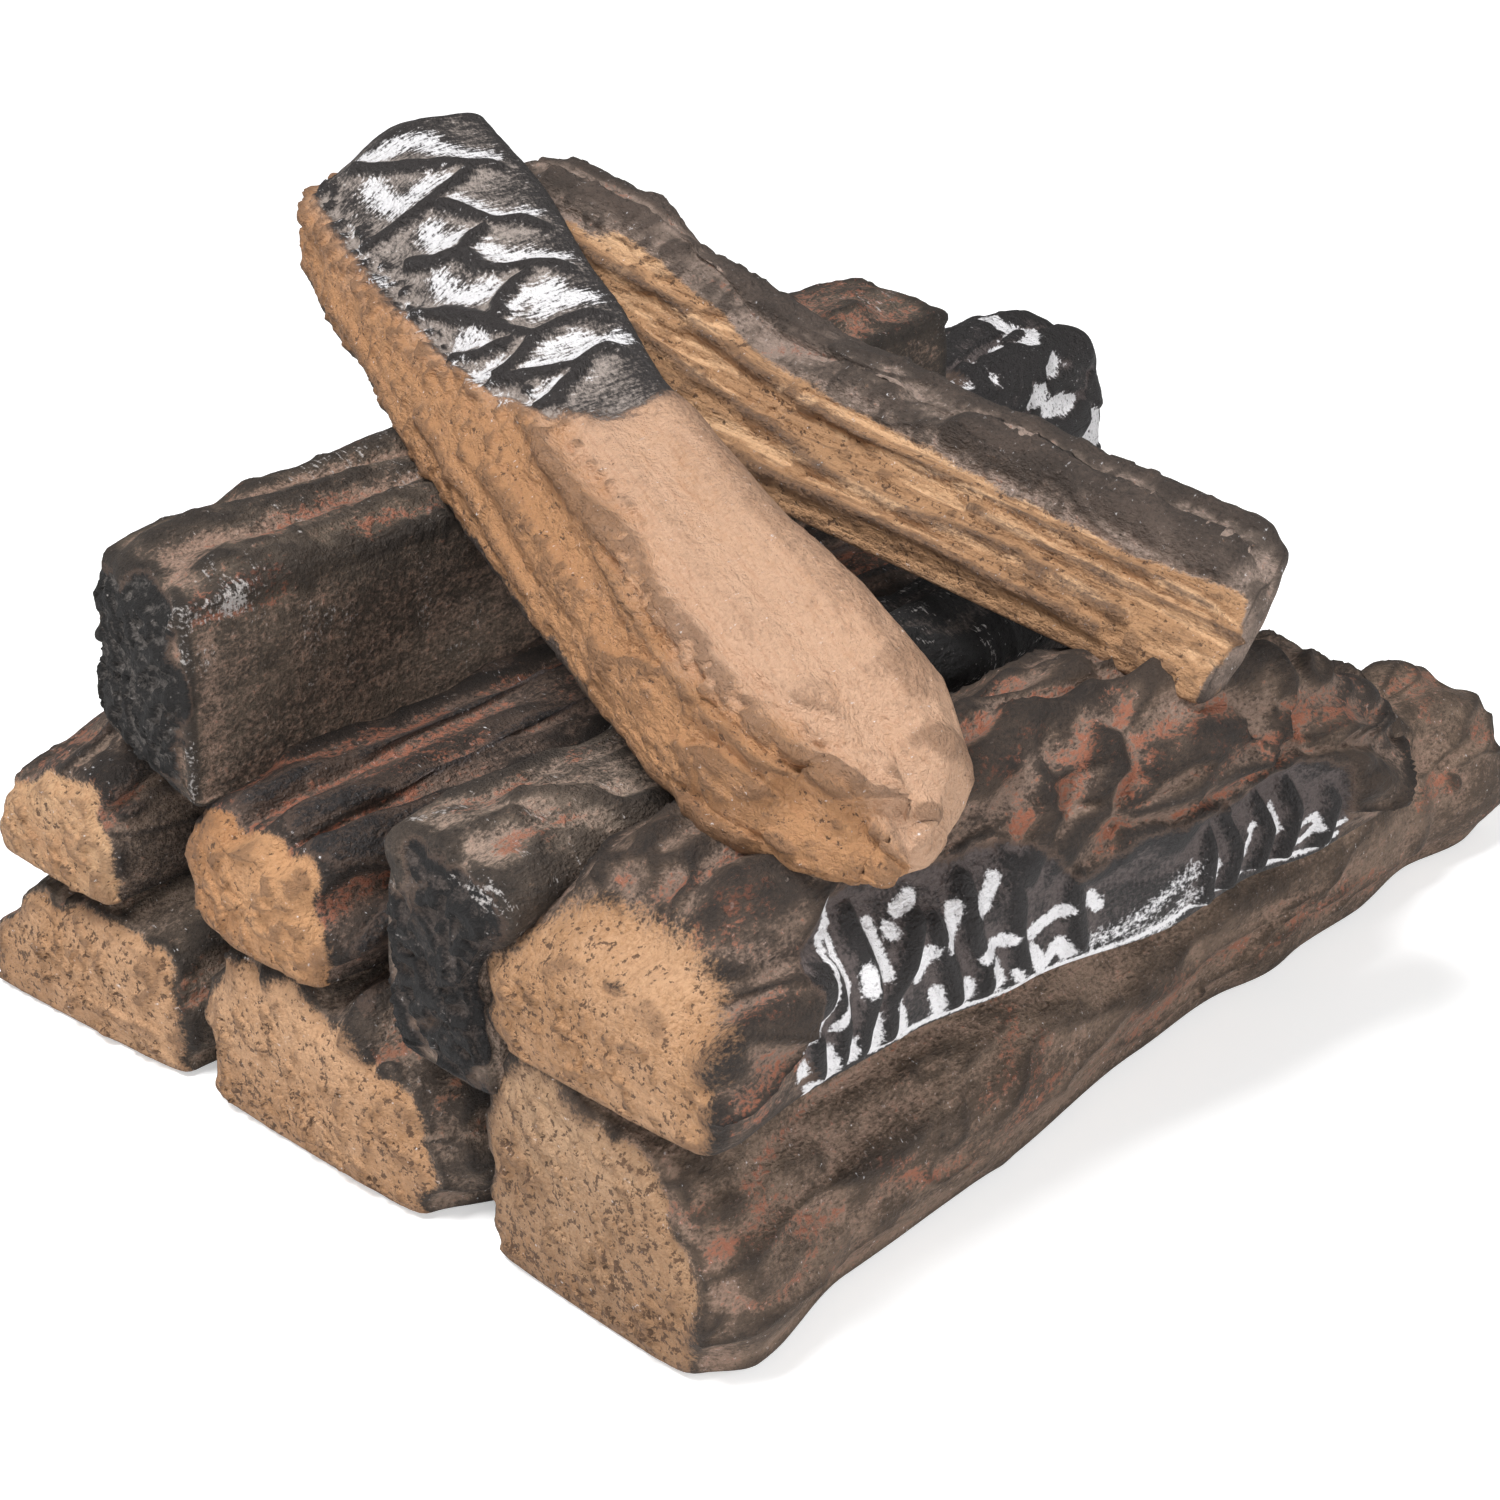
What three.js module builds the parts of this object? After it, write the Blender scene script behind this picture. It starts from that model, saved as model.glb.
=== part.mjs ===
// A stack of ten loose, cast and hand-painted ceramic logs for a gas fire.
// Millimetres, +Z up, +X along the logs away from their sawn front ends, +Y to the left of the stack.
// The origin is on the hearth, under the middle of the stack.
import * as THREE from 'three';

// Main sizes: the longest log, the spread of the hearth logs from side to side, and the tallest of them.
const longestLog = 406;
const hearthSpread = 265;
const tallestLog = 63;

// Room left between a log and what it rests on.
const seatGap = 0.4;

// Rings along each log and steps between two points of its outline.
const ringCount = 15;
const outlineSteps = 3;

// The worn rim of every sawn end: how far the edge is rounded back, and how much of the section is left.
const rimDepth = 3;
const rimShare = 0.94;
const capShare = 0.5;

// Each log: its sizes and the place of its right front corner in the stack, its outline and its stations.
// Length and front are shares of the longest log, width and right of the spread, height of the tallest log,
// but a log that leans across the stack has its length as a share of the spread.
// An outline lists [from right to left, from base to crown] as shares of width and height.
// A station lists [along the length, right edge, left edge, crown height, mix of front and rear outline],
// and, where the underside is arched, the height of the base.
// Bark has ridges along the log: their depth as a share of the tallest log, and how many, how far they
// wander and their phase. A knot lists [along the length, round the outline, height, reach].
// An end's slant and bulge are shares of the tallest log.
const logs = {
  hearth_log_left: {
    sizeShares: { length: 0.7389, width: 0.283, height: 0.6825, right: 0.7019, front: 0 },
    frontShares: [[0.06, 0], [0, 0.15], [0, 0.55], [0.07, 0.82], [0.2, 0.97], [0.42, 1],
      [0.62, 0.94], [0.8, 0.8], [0.93, 0.56], [1, 0.3], [0.99, 0.1], [0.93, 0]],
    rearShares: [[0.1, 0], [0, 0.18], [0, 0.5], [0.08, 0.78], [0.24, 0.95], [0.45, 1],
      [0.65, 0.99], [0.83, 0.88], [0.95, 0.62], [1, 0.34], [0.98, 0.1], [0.9, 0]],
    stationShares: [[0, 0, 1, 0.84, 0], [0.1, -0.03, 1.01, 1, 0.1], [0.4, 0, 0.97, 1, 0.4],
      [0.7, 0.05, 1.02, 0.97, 0.8], [1, 0.1, 0.92, 0.9, 1]],
    barkShares: { depth: 0.0254 }, bark: { ridges: 7, wander: 0.5, phase: 0.4 },
    knotShares: [],
    endShares: { slant: -0.0794, bulge: 0.0238 },
    colour: 0x8a6c50, roughness: 0.85,
  },
  hearth_log_middle: {
    sizeShares: { length: 0.7143, width: 0.3472, height: 0.7937, right: 0.3019, front: 0 },
    frontShares: [[0.12, 0], [0.03, 0.12], [0.02, 0.45], [0.09, 0.68], [0.24, 0.83], [0.42, 0.92],
      [0.6, 0.99], [0.8, 0.99], [0.93, 0.86], [0.99, 0.55], [1, 0.18], [0.93, 0]],
    rearShares: [[0.1, 0], [0, 0.15], [0, 0.55], [0.05, 0.8], [0.18, 0.93], [0.42, 1],
      [0.63, 1], [0.8, 0.93], [0.92, 0.76], [0.99, 0.48], [0.99, 0.14], [0.9, 0]],
    stationShares: [[0, 0.1, 1, 0.9, 0], [0.08, -0.01, 1.01, 1, 0.1], [0.35, 0.01, 0.98, 1, 0.4],
      [0.65, 0.04, 1.02, 0.98, 0.7], [1, 0.08, 0.94, 0.92, 1]],
    barkShares: { depth: 0.0286 }, bark: { ridges: 8, wander: 0.4, phase: 1.7 },
    knotShares: [],
    endShares: { slant: 0, bulge: 0.0317 },
    colour: 0x7d5f47, roughness: 0.85,
  },
  hearth_log_right: {
    sizeShares: { length: 0.8695, width: 0.2642, height: 1, right: 0, front: 0 },
    frontShares: [[0.1, 0], [0, 0.12], [0.02, 0.42], [0.14, 0.68], [0.32, 0.84], [0.56, 0.94],
      [0.8, 0.98], [0.94, 0.8], [0.99, 0.5], [1, 0.25], [0.98, 0.08], [0.9, 0]],
    rearShares: [[0.14, 0], [0.01, 0.15], [0, 0.45], [0.1, 0.76], [0.3, 0.95], [0.54, 1],
      [0.76, 0.95], [0.92, 0.78], [1, 0.5], [0.99, 0.26], [0.96, 0.1], [0.86, 0]],
    stationShares: [[0, 0, 0.98, 0.97, 0], [0.04, -0.12, 0.99, 1, 0], [0.15, -0.02, 0.98, 1, 0.15],
      [0.31, -0.01, 0.96, 1, 0.4], [0.5, 0.07, 0.93, 0.99, 0.6], [0.61, 0.09, 0.88, 0.98, 0.8],
      [0.68, 0.06, 0.82, 0.96, 1], [0.79, 0.04, 0.76, 0.88, 1], [0.88, 0.1, 0.66, 0.72, 1],
      [0.95, 0.04, 0.68, 0.74, 1], [1, 0.08, 0.62, 0.66, 1]],
    barkShares: { depth: 0.0286 }, bark: { ridges: 6, wander: 0.6, phase: 0.9 },
    knotShares: [[0.66, 0.1, 0.06, 0.25]],
    endShares: { slant: 0.0476, bulge: 0.0238 },
    colour: 0x6b5345, roughness: 0.8,
  },
  long_log: {
    sizeShares: { length: 1, width: 0.1849, height: 0.6984, right: 0.7736, front: -0.0099 },
    frontShares: [[0.08, 0], [0, 0.1], [0.02, 0.5], [0.07, 0.82], [0.17, 0.97], [0.32, 1],
      [0.5, 0.94], [0.68, 0.82], [0.85, 0.64], [0.97, 0.4], [0.98, 0.16], [0.86, 0]],
    rearShares: [[0.06, 0], [0, 0.08], [0, 0.5], [0.05, 0.82], [0.2, 0.96], [0.4, 1],
      [0.6, 0.99], [0.8, 0.92], [0.94, 0.74], [1, 0.45], [0.98, 0.12], [0.9, 0]],
    stationShares: [[0, 0.02, 0.98, 0.66, 0], [0.03, 0.01, 1, 0.78, 0], [0.09, 0, 1, 0.98, 0],
      [0.3, -0.03, 0.98, 1, 0.3], [0.6, -0.12, 0.9, 0.98, 0.7], [0.8, -0.2, 0.82, 1.04, 1],
      [0.94, -0.26, 0.8, 1.2, 1], [0.98, -0.24, 0.74, 1.12, 1], [1, -0.18, 0.66, 0.96, 1]],
    barkShares: { depth: 0.0206 }, bark: { ridges: 6, wander: 0.5, phase: 2.2 },
    knotShares: [],
    endShares: { slant: 0, bulge: 0.0159 },
    colour: 0x6f5a48, roughness: 0.8,
  },
  ridged_log: {
    sizeShares: { length: 0.7143, width: 0.1925, height: 0.5635, right: 0.4679, front: 0 },
    frontShares: [[0.12, 0], [0.03, 0.1], [0.04, 0.5], [0.1, 0.82], [0.22, 0.96], [0.42, 1],
      [0.62, 1], [0.85, 0.98], [0.96, 0.84], [1, 0.5], [0.96, 0.18], [0.82, 0]],
    rearShares: [[0.1, 0], [0, 0.14], [0, 0.52], [0.08, 0.84], [0.24, 0.98], [0.42, 1],
      [0.62, 0.99], [0.82, 0.97], [0.95, 0.8], [1, 0.5], [0.98, 0.15], [0.88, 0]],
    stationShares: [[0, 0, 1, 0.92, 0], [0.08, -0.04, 1, 1, 0.1], [0.35, -0.06, 0.98, 0.99, 0.4],
      [0.65, -0.14, 0.94, 1, 0.7], [0.9, -0.2, 0.9, 0.97, 1], [1, -0.16, 0.84, 0.86, 1]],
    barkShares: { depth: 0.027 }, bark: { ridges: 7, wander: 0.35, phase: 0.2 },
    knotShares: [],
    endShares: { slant: 0.0159, bulge: 0.0238 },
    colour: 0x6a4c3c, roughness: 0.8,
  },
  black_block_log: {
    sizeShares: { length: 0.6281, width: 0.1736, height: 0.9524, right: 0.2075, front: 0 },
    frontShares: [[0.27, 0], [0.19, 0.08], [0.26, 0.34], [0.27, 0.56], [0.08, 0.88], [0.3, 0.96],
      [0.58, 1], [0.86, 0.98], [0.97, 0.86], [1, 0.45], [0.97, 0.12], [0.86, 0]],
    rearShares: [[0.27, 0], [0.19, 0.08], [0.26, 0.34], [0.25, 0.64], [0.16, 0.92], [0.36, 1],
      [0.58, 0.99], [0.84, 0.96], [0.96, 0.84], [1, 0.45], [0.97, 0.12], [0.86, 0]],
    stationShares: [[0, 0.02, 0.98, 0.97, 0], [0.06, 0, 1, 1, 0], [0.3, 0, 0.99, 0.96, 0.3],
      [0.55, 0.02, 1, 1, 0.6], [0.85, 0.04, 0.98, 0.97, 1], [1, 0.08, 0.95, 0.93, 1]],
    barkShares: { depth: 0.0143 }, bark: { ridges: 5, wander: 0.6, phase: 1.1 },
    knotShares: [],
    endShares: { slant: 0.0317, bulge: 0.0159 },
    colour: 0x38322f, roughness: 0.75,
  },
  ash_streaked_log: {
    sizeShares: { length: 0.6084, width: 0.2604, height: 0.8254, right: -0.0302, front: 0 },
    frontShares: [[0.12, 0], [0, 0.12], [0.03, 0.48], [0.1, 0.72], [0.25, 0.92], [0.43, 1],
      [0.66, 0.97], [0.86, 0.84], [0.97, 0.6], [0.98, 0.3], [0.93, 0.08], [0.84, 0]],
    rearShares: [[0.1, 0], [0, 0.1], [0.02, 0.36], [0.1, 0.66], [0.28, 0.91], [0.5, 1],
      [0.7, 0.95], [0.87, 0.8], [0.97, 0.54], [0.99, 0.25], [0.95, 0.06], [0.86, 0]],
    stationShares: [[0, 0.02, 1.04, 0.62, 0], [0.03, 0, 1.05, 0.72, 0], [0.13, 0.03, 1, 0.98, 0.2],
      [0.27, 0.02, 0.95, 1, 0.5], [0.42, -0.06, 0.86, 1.02, 0.8], [0.62, -0.21, 0.74, 1.08, 1],
      [0.72, -0.2, 0.64, 1.08, 1], [0.84, -0.28, 0.46, 0.96, 1], [0.94, -0.28, 0.2, 0.68, 1],
      [1, -0.2, 0.02, 0.4, 1]],
    barkShares: { depth: 0.0254 }, bark: { ridges: 6, wander: 0.7, phase: 2.9 },
    knotShares: [],
    endShares: { slant: 0, bulge: 0.0238 },
    colour: 0x6b5245, roughness: 0.75,
  },
  upper_block_log: {
    sizeShares: { length: 0.7118, width: 0.1887, height: 0.8413, right: 0.634, front: -0.0025 },
    frontShares: [[0.05, 0], [0, 0.06], [0, 0.5], [0.01, 0.9], [0.06, 0.98], [0.3, 1],
      [0.6, 1.02], [0.84, 0.99], [0.93, 0.9], [0.97, 0.5], [1, 0.08], [0.94, 0]],
    rearShares: [[0.05, 0], [0, 0.06], [0, 0.5], [0.01, 0.9], [0.06, 0.97], [0.3, 0.98],
      [0.55, 1], [0.78, 1], [0.92, 0.92], [0.97, 0.5], [1, 0.08], [0.94, 0]],
    stationShares: [[0, 0.01, 0.97, 0.98, 0], [0.05, 0, 1, 1, 0], [0.25, 0.01, 1, 0.96, 0.2],
      [0.5, 0, 0.99, 1, 0.5], [0.75, 0.02, 1, 0.97, 0.8], [0.92, 0.01, 0.99, 1, 1],
      [1, 0.03, 0.96, 0.97, 1]],
    barkShares: { depth: 0.0127 }, bark: { ridges: 4, wander: 0.8, phase: 0.6 },
    knotShares: [],
    endShares: { slant: 0.1746, bulge: 0.0238 },
    colour: 0x4f463b, roughness: 0.7,
  },
  charred_split_log: {
    sizeShares: { length: 1.1811, width: 0.2038, height: 0.8571, right: 0, front: 0 },
    frontShares: [[0.16, 0], [0.03, 0.16], [0, 0.45], [0.02, 0.76], [0.1, 0.94], [0.26, 1],
      [0.45, 0.96], [0.62, 0.9], [0.77, 0.78], [0.88, 0.5], [0.97, 0.2], [0.93, 0]],
    rearShares: [[0.68, 0], [0.58, 0.1], [0.36, 0.38], [0.14, 0.66], [0.02, 0.84], [0.08, 0.96],
      [0.28, 0.98], [0.52, 0.9], [0.76, 0.76], [0.91, 0.58], [0.99, 0.28], [0.96, 0]],
    stationShares: [[0, 0.22, 0.62, 0.42, 0, 0.14], [0.04, 0, 0.84, 0.64, 0, 0.13],
      [0.1, -0.04, 0.98, 0.8, 0, 0.11], [0.18, 0, 1.05, 0.86, 0.1, 0.07], [0.3, 0.12, 1.06, 0.88, 0.2, 0.02],
      [0.46, 0.14, 1.08, 0.87, 0.5], [0.64, 0.1, 1.08, 0.9, 1], [0.84, 0.02, 1.03, 0.92, 1],
      [0.96, 0.02, 0.98, 0.9, 1], [1, 0.08, 0.88, 0.8, 1]],
    barkShares: { depth: 0.0159 }, bark: { ridges: 5, wander: 0.5, phase: 1.3 },
    knotShares: [],
    endShares: { slant: 0, bulge: 0.0635 },
    colour: 0xc79a70, roughness: 0.85,
  },
  cross_log: {
    sizeShares: { length: 0.9887, width: 0.1585, height: 0.7619, right: 0, front: 0 },
    frontShares: [[0.72, 0], [0.6, 0.14], [0.42, 0.42], [0.26, 0.72], [0.17, 0.92], [0.24, 1],
      [0.34, 0.88], [0.44, 0.8], [0.56, 0.72], [0.76, 0.42], [0.93, 0.14], [0.96, 0]],
    rearShares: [[0.66, 0], [0.46, 0.16], [0.24, 0.42], [0.06, 0.7], [0, 0.86], [0.06, 0.98],
      [0.18, 1], [0.3, 0.94], [0.42, 0.8], [0.7, 0.42], [0.93, 0.12], [0.96, 0]],
    stationShares: [[0, 0.03, 0.97, 0.66, 0], [0.05, 0, 1, 0.7, 0], [0.3, 0, 1, 0.7, 0.2],
      [0.6, 0, 1, 0.7, 0.5], [0.72, 0, 1, 0.8, 0.8], [0.82, -0.02, 1, 1.02, 1],
      [0.93, 0, 1, 1.04, 1], [1, 0.1, 0.9, 0.9, 1]],
    barkShares: { depth: 0.019 }, bark: { ridges: 5, wander: 0.4, phase: 2 },
    knotShares: [],
    endShares: { slant: 0, bulge: 0.0238 },
    colour: 0xa98260, roughness: 0.85,
  },
};

// Where the two leaning logs lie in plan: the right lower corner of each, and its turn from +X.
// The split log's corner is at shares of the longest log and the spread. The cross log keeps beside it,
// so its corner is counted from the split log's, in shares of the spread.
const splitLogShares = { x: 0.197, y: -0.0566 };
const crossLogShares = { x: 0.4642, y: 0.0075 };
const splitLogTurn = 68.8;
const crossLogTurn = 93.4;

// How far a log is held up before it is let down on the others, and the steepest it may lean.
const liftOff = longestLog;
const steepest = 30;
const leanSteps = 12;

// Spacing of the places at which two logs are compared, while one leans and when it is let down.
const leanSpacing = 4;
const seatSpacing = 1;
const closerShare = 0.25;

const smooth = (t) => t * t * (3 - 2 * t);

// The value in column `column` of a station table at `share` of the length, eased from station to station.
function stationValue(table, share, column) {
  const after = Math.max(1, table.findIndex((row) => row[0] >= share));
  const [low, high] = [table[after - 1], table[after]];
  const t = smooth(THREE.MathUtils.clamp((share - low[0]) / (high[0] - low[0]), 0, 1));
  return THREE.MathUtils.lerp(low[column] ?? 0, high[column] ?? 0, t);
}

// A closed smooth curve through the outline's points.
function outlineCurve(shares) {
  const points = shares.map(([y, z]) => new THREE.Vector3(0, y, z));
  return new THREE.CatmullRomCurve3(points, true, 'catmullrom', 0.5);
}

// Height of the bark at a place on a log: ridges that run along it and wander, and round knots.
function barkHeight(log, along, round, rise) {
  const { ridges, wander, phase } = log.bark;
  const turn = 2 * Math.PI;
  const drift = wander * Math.sin(turn * along + phase) + wander * Math.sin(2 * turn * along + 2 * phase);
  const fade = smooth(THREE.MathUtils.clamp(2 * rise, 0, 1));
  let height = log.barkDepth * fade * Math.cos(turn * ridges * round + drift);
  for (const [knotAlong, knotRound, knotShare, reachShare] of log.knotShares) {
    const dx = (along - knotAlong) * log.length;
    const dr = (round - knotRound) * (log.width + log.height) * 2;
    const reach = reachShare * log.width;
    height += knotShare * log.width * Math.exp(-(dx * dx + dr * dr) / (reach * reach));
  }
  return height;
}

// One ring of a log, as points in the log's own frame, with its front right corner at zero.
function ringAt(log, share, x, size) {
  const front = outlineCurve(log.frontShares);
  const rear = outlineCurve(log.rearShares);
  const values = [1, 2, 3, 4, 5].map((column) => stationValue(log.stationShares, share, column));
  const [right, left, crown, mix, base] = values;
  const steps = log.frontShares.length * outlineSteps;
  const middle = new THREE.Vector2((right + left) * log.width / 2, (base + crown) * log.height / 2);
  const ring = [];
  for (let step = 0; step < steps; step += 1) {
    const round = step / steps;
    const point = front.getPoint(round).lerp(rear.getPoint(round), mix);
    const across = THREE.MathUtils.lerp(right, left, point.y) * log.width;
    const place = new THREE.Vector2(across, THREE.MathUtils.lerp(base, crown, point.z) * log.height);
    const outward = place.clone().sub(middle).normalize();
    place.addScaledVector(outward, barkHeight(log, share, round, point.z));
    place.sub(middle).multiplyScalar(size).add(middle);
    const slant = log.slant * (1 - share) * place.x / log.width;
    ring.push(new THREE.Vector3(x + slant, place.x, Math.max(place.y, base * log.height)));
  }
  return ring;
}

// The closed skin of a log: rings from end to end, with a worn rim and a slightly domed face at each end.
function logGeometry(log) {
  const rows = [{ share: 0, x: 0, size: rimShare }];
  for (let index = 0; index < ringCount; index += 1) {
    const t = index / (ringCount - 1);
    const x = rimDepth + (log.length - 2 * rimDepth) * t;
    rows.push({ share: x / log.length, x, size: 1 });
  }
  rows.push({ share: 1, x: log.length, size: rimShare });
  const rings = rows.map(({ share, x, size }) => ringAt(log, share, x, size));
  const frontFace = ringAt(log, 0, 0, rimShare * capShare);
  const rearFace = ringAt(log, 1, log.length, rimShare * capShare);
  for (const point of frontFace) point.x -= log.bulge;
  for (const point of rearFace) point.x += log.bulge;
  const all = [frontFace, ...rings, rearFace];

  const count = frontFace.length;
  const positions = all.flat().flatMap((point) => point.toArray());
  const middleOf = (ring) => {
    const sum = ring.reduce((total, point) => total.add(point), new THREE.Vector3());
    return sum.divideScalar(count);
  };
  const frontMiddle = all.length * count;
  const rearMiddle = frontMiddle + 1;
  positions.push(...middleOf(frontFace).toArray(), ...middleOf(rearFace).toArray());

  const triangles = [];
  for (let ring = 0; ring < all.length - 1; ring += 1) {
    for (let step = 0; step < count; step += 1) {
      const next = (step + 1) % count;
      const [a, b] = [ring * count + step, ring * count + next];
      const [c, d] = [a + count, b + count];
      triangles.push(a, c, b, b, c, d);
    }
  }
  for (let step = 0; step < count; step += 1) {
    const next = (step + 1) % count;
    const last = (all.length - 1) * count;
    triangles.push(frontMiddle, step, next);
    triangles.push(rearMiddle, last + next, last + step);
  }
  const geometry = new THREE.BufferGeometry();
  geometry.setAttribute('position', new THREE.Float32BufferAttribute(positions, 3));
  geometry.setIndex(triangles);
  geometry.computeVertexNormals();
  return geometry;
}

// A log's sizes in millimetres, from its shares of the main sizes.
function sized(log, run) {
  return {
    ...log,
    length: log.sizeShares.length * run,
    width: log.sizeShares.width * hearthSpread,
    height: log.sizeShares.height * tallestLog,
    front: log.sizeShares.front * longestLog,
    right: log.sizeShares.right * hearthSpread,
    barkDepth: log.barkShares.depth * tallestLog,
    slant: log.endShares.slant * tallestLog,
    bulge: log.endShares.bulge * tallestLog,
  };
}

function makeLog(name, run) {
  const log = sized(logs[name], run);
  const finish = { color: log.colour, roughness: log.roughness, metalness: 0, side: THREE.DoubleSide };
  const mesh = new THREE.Mesh(logGeometry(log), new THREE.MeshStandardMaterial(finish));
  mesh.name = name;
  mesh.position.set(log.front, log.right, 0);
  mesh.updateMatrixWorld(true);
  return mesh;
}

// Least upright distance between an upper log and a lower one, on a grid that closes in on the nearest place.
function uprightGap(upper, lower, spacing) {
  upper.updateMatrixWorld(true);
  const over = new THREE.Box3().setFromObject(upper);
  const under = new THREE.Box3().setFromObject(lower);
  const level = under.max.z + seatGap;
  const up = new THREE.Vector3(0, 0, 1);
  const down = new THREE.Vector3(0, 0, -1);
  const ray = new THREE.Raycaster();
  const area = over.intersect(under.clone().expandByVector(up.clone().multiplyScalar(liftOff)));
  let best = { gap: Infinity };
  for (let step = spacing; step >= seatSpacing * closerShare; step *= closerShare) {
    for (let { x } = area.min; x <= area.max.x; x += step) {
      for (let { y } = area.min; y <= area.max.y; y += step) {
        const place = new THREE.Vector3(x, y, level);
        ray.set(place, up);
        const above = ray.intersectObject(upper)[0];
        if (!above) continue;
        ray.set(place, down);
        const below = ray.intersectObject(lower)[0];
        if (!below) continue;
        const gap = above.distance + below.distance;
        if (gap < best.gap) best = { gap, place };
      }
    }
    if (!best.place) break;
    area.setFromCenterAndSize(best.place, new THREE.Vector3(2 * step, 2 * step, 0));
  }
  return best.gap;
}

// Lets a log down until it is one seat gap above the nearest of the logs under it.
function letDown(mesh, lowers) {
  mesh.position.z += liftOff;
  const gap = Math.min(...lowers.map((lower) => uprightGap(mesh, lower, seatSpacing)));
  mesh.position.z -= gap - seatGap;
  mesh.updateMatrixWorld(true);
}

// Turns a log about one of its own axes until it is as far above one support as above the other.
function lean(mesh, axis, first, second) {
  mesh.position.z += liftOff;
  const start = mesh.rotation[axis];
  let [low, high] = [-THREE.MathUtils.degToRad(steepest), THREE.MathUtils.degToRad(steepest)];
  const lowSign = leanError(mesh, axis, start + low, first, second) > 0;
  for (let step = 0; step < leanSteps; step += 1) {
    const middle = (low + high) / 2;
    const same = leanError(mesh, axis, start + middle, first, second) > 0 === lowSign;
    if (same) low = middle;
    else high = middle;
  }
  mesh.position.z -= liftOff;
  letDown(mesh, [first, second]);
}

function leanError(mesh, axis, angle, first, second) {
  mesh.rotation[axis] = angle;
  return uprightGap(mesh, first, leanSpacing) - uprightGap(mesh, second, leanSpacing);
}

const part = new THREE.Group();
const made = {};
const across = ['charred_split_log', 'cross_log'];
for (const name of Object.keys(logs)) {
  made[name] = makeLog(name, across.includes(name) ? hearthSpread : longestLog);
  part.add(made[name]);
}

// The second row lies with its flat undersides on the crowns of the hearth logs.
letDown(made.long_log, [made.hearth_log_left]);
letDown(made.ridged_log, [made.hearth_log_middle]);
letDown(made.black_block_log, [made.hearth_log_middle, made.hearth_log_right]);
letDown(made.ash_streaked_log, [made.hearth_log_right]);

// The upper block bridges the long log and the ridged log.
lean(made.upper_block_log, 'x', made.long_log, made.ridged_log);

// Lays a split log across the stack, on the upper block's edge and the ash-streaked log.
function leanAcross(mesh, x, y, turn) {
  mesh.rotation.order = 'ZYX';
  mesh.position.set(x, y, 0);
  mesh.rotation.z = THREE.MathUtils.degToRad(turn);
  lean(mesh, 'y', made.upper_block_log, made.ash_streaked_log);
}
const splitX = splitLogShares.x * longestLog;
const splitY = splitLogShares.y * hearthSpread;
const crossX = splitX + crossLogShares.x * hearthSpread;
const crossY = splitY + crossLogShares.y * hearthSpread;
leanAcross(made.charred_split_log, splitX, splitY, splitLogTurn);
leanAcross(made.cross_log, crossX, crossY, crossLogTurn);

// The origin is moved to the middle of the stack's footprint, on the hearth.
const extent = new THREE.Box3().setFromObject(part, true);
part.position.set(-(extent.min.x + extent.max.x) / 2, -(extent.min.y + extent.max.y) / 2, -extent.min.z);

export default part;
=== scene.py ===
# %% [markdown]
# # A stack of cast ceramic fire logs
#
# Ten solid logs, cast in refractory ceramic and painted by hand, lie loose on each other.
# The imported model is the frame: it says where each log is and which logs can be lifted.
# Here each log is made once more with its full surface, and takes the place of its plain solid.

import math

import bpy
import numpy as np
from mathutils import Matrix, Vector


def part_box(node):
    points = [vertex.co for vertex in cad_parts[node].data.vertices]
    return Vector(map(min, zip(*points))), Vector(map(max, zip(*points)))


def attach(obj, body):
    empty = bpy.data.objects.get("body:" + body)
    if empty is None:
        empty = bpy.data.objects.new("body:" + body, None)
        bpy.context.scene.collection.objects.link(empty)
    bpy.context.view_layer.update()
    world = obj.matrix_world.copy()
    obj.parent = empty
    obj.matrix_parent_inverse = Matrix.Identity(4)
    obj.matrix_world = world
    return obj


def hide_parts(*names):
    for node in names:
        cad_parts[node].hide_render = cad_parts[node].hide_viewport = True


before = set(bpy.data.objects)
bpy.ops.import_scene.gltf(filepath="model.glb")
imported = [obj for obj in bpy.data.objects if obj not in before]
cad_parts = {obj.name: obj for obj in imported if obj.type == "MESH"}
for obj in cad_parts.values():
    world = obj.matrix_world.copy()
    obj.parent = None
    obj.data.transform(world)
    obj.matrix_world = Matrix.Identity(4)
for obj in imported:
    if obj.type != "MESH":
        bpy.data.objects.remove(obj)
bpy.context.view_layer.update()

# %% [markdown]
# ## The logs' outlines
#
# A cast log keeps the shape of the wood that its mould was taken from: one closed outline at the
# front end, another at the rear, and between them a body that widens, narrows and arches.
# It could be sculpted freely, but then it would drift from the solids that it stands for.
# So each log has the same table as its solid: outlines as shares of width and height, and
# stations along the length that stretch the outline. Lengths are millimetres.

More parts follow.
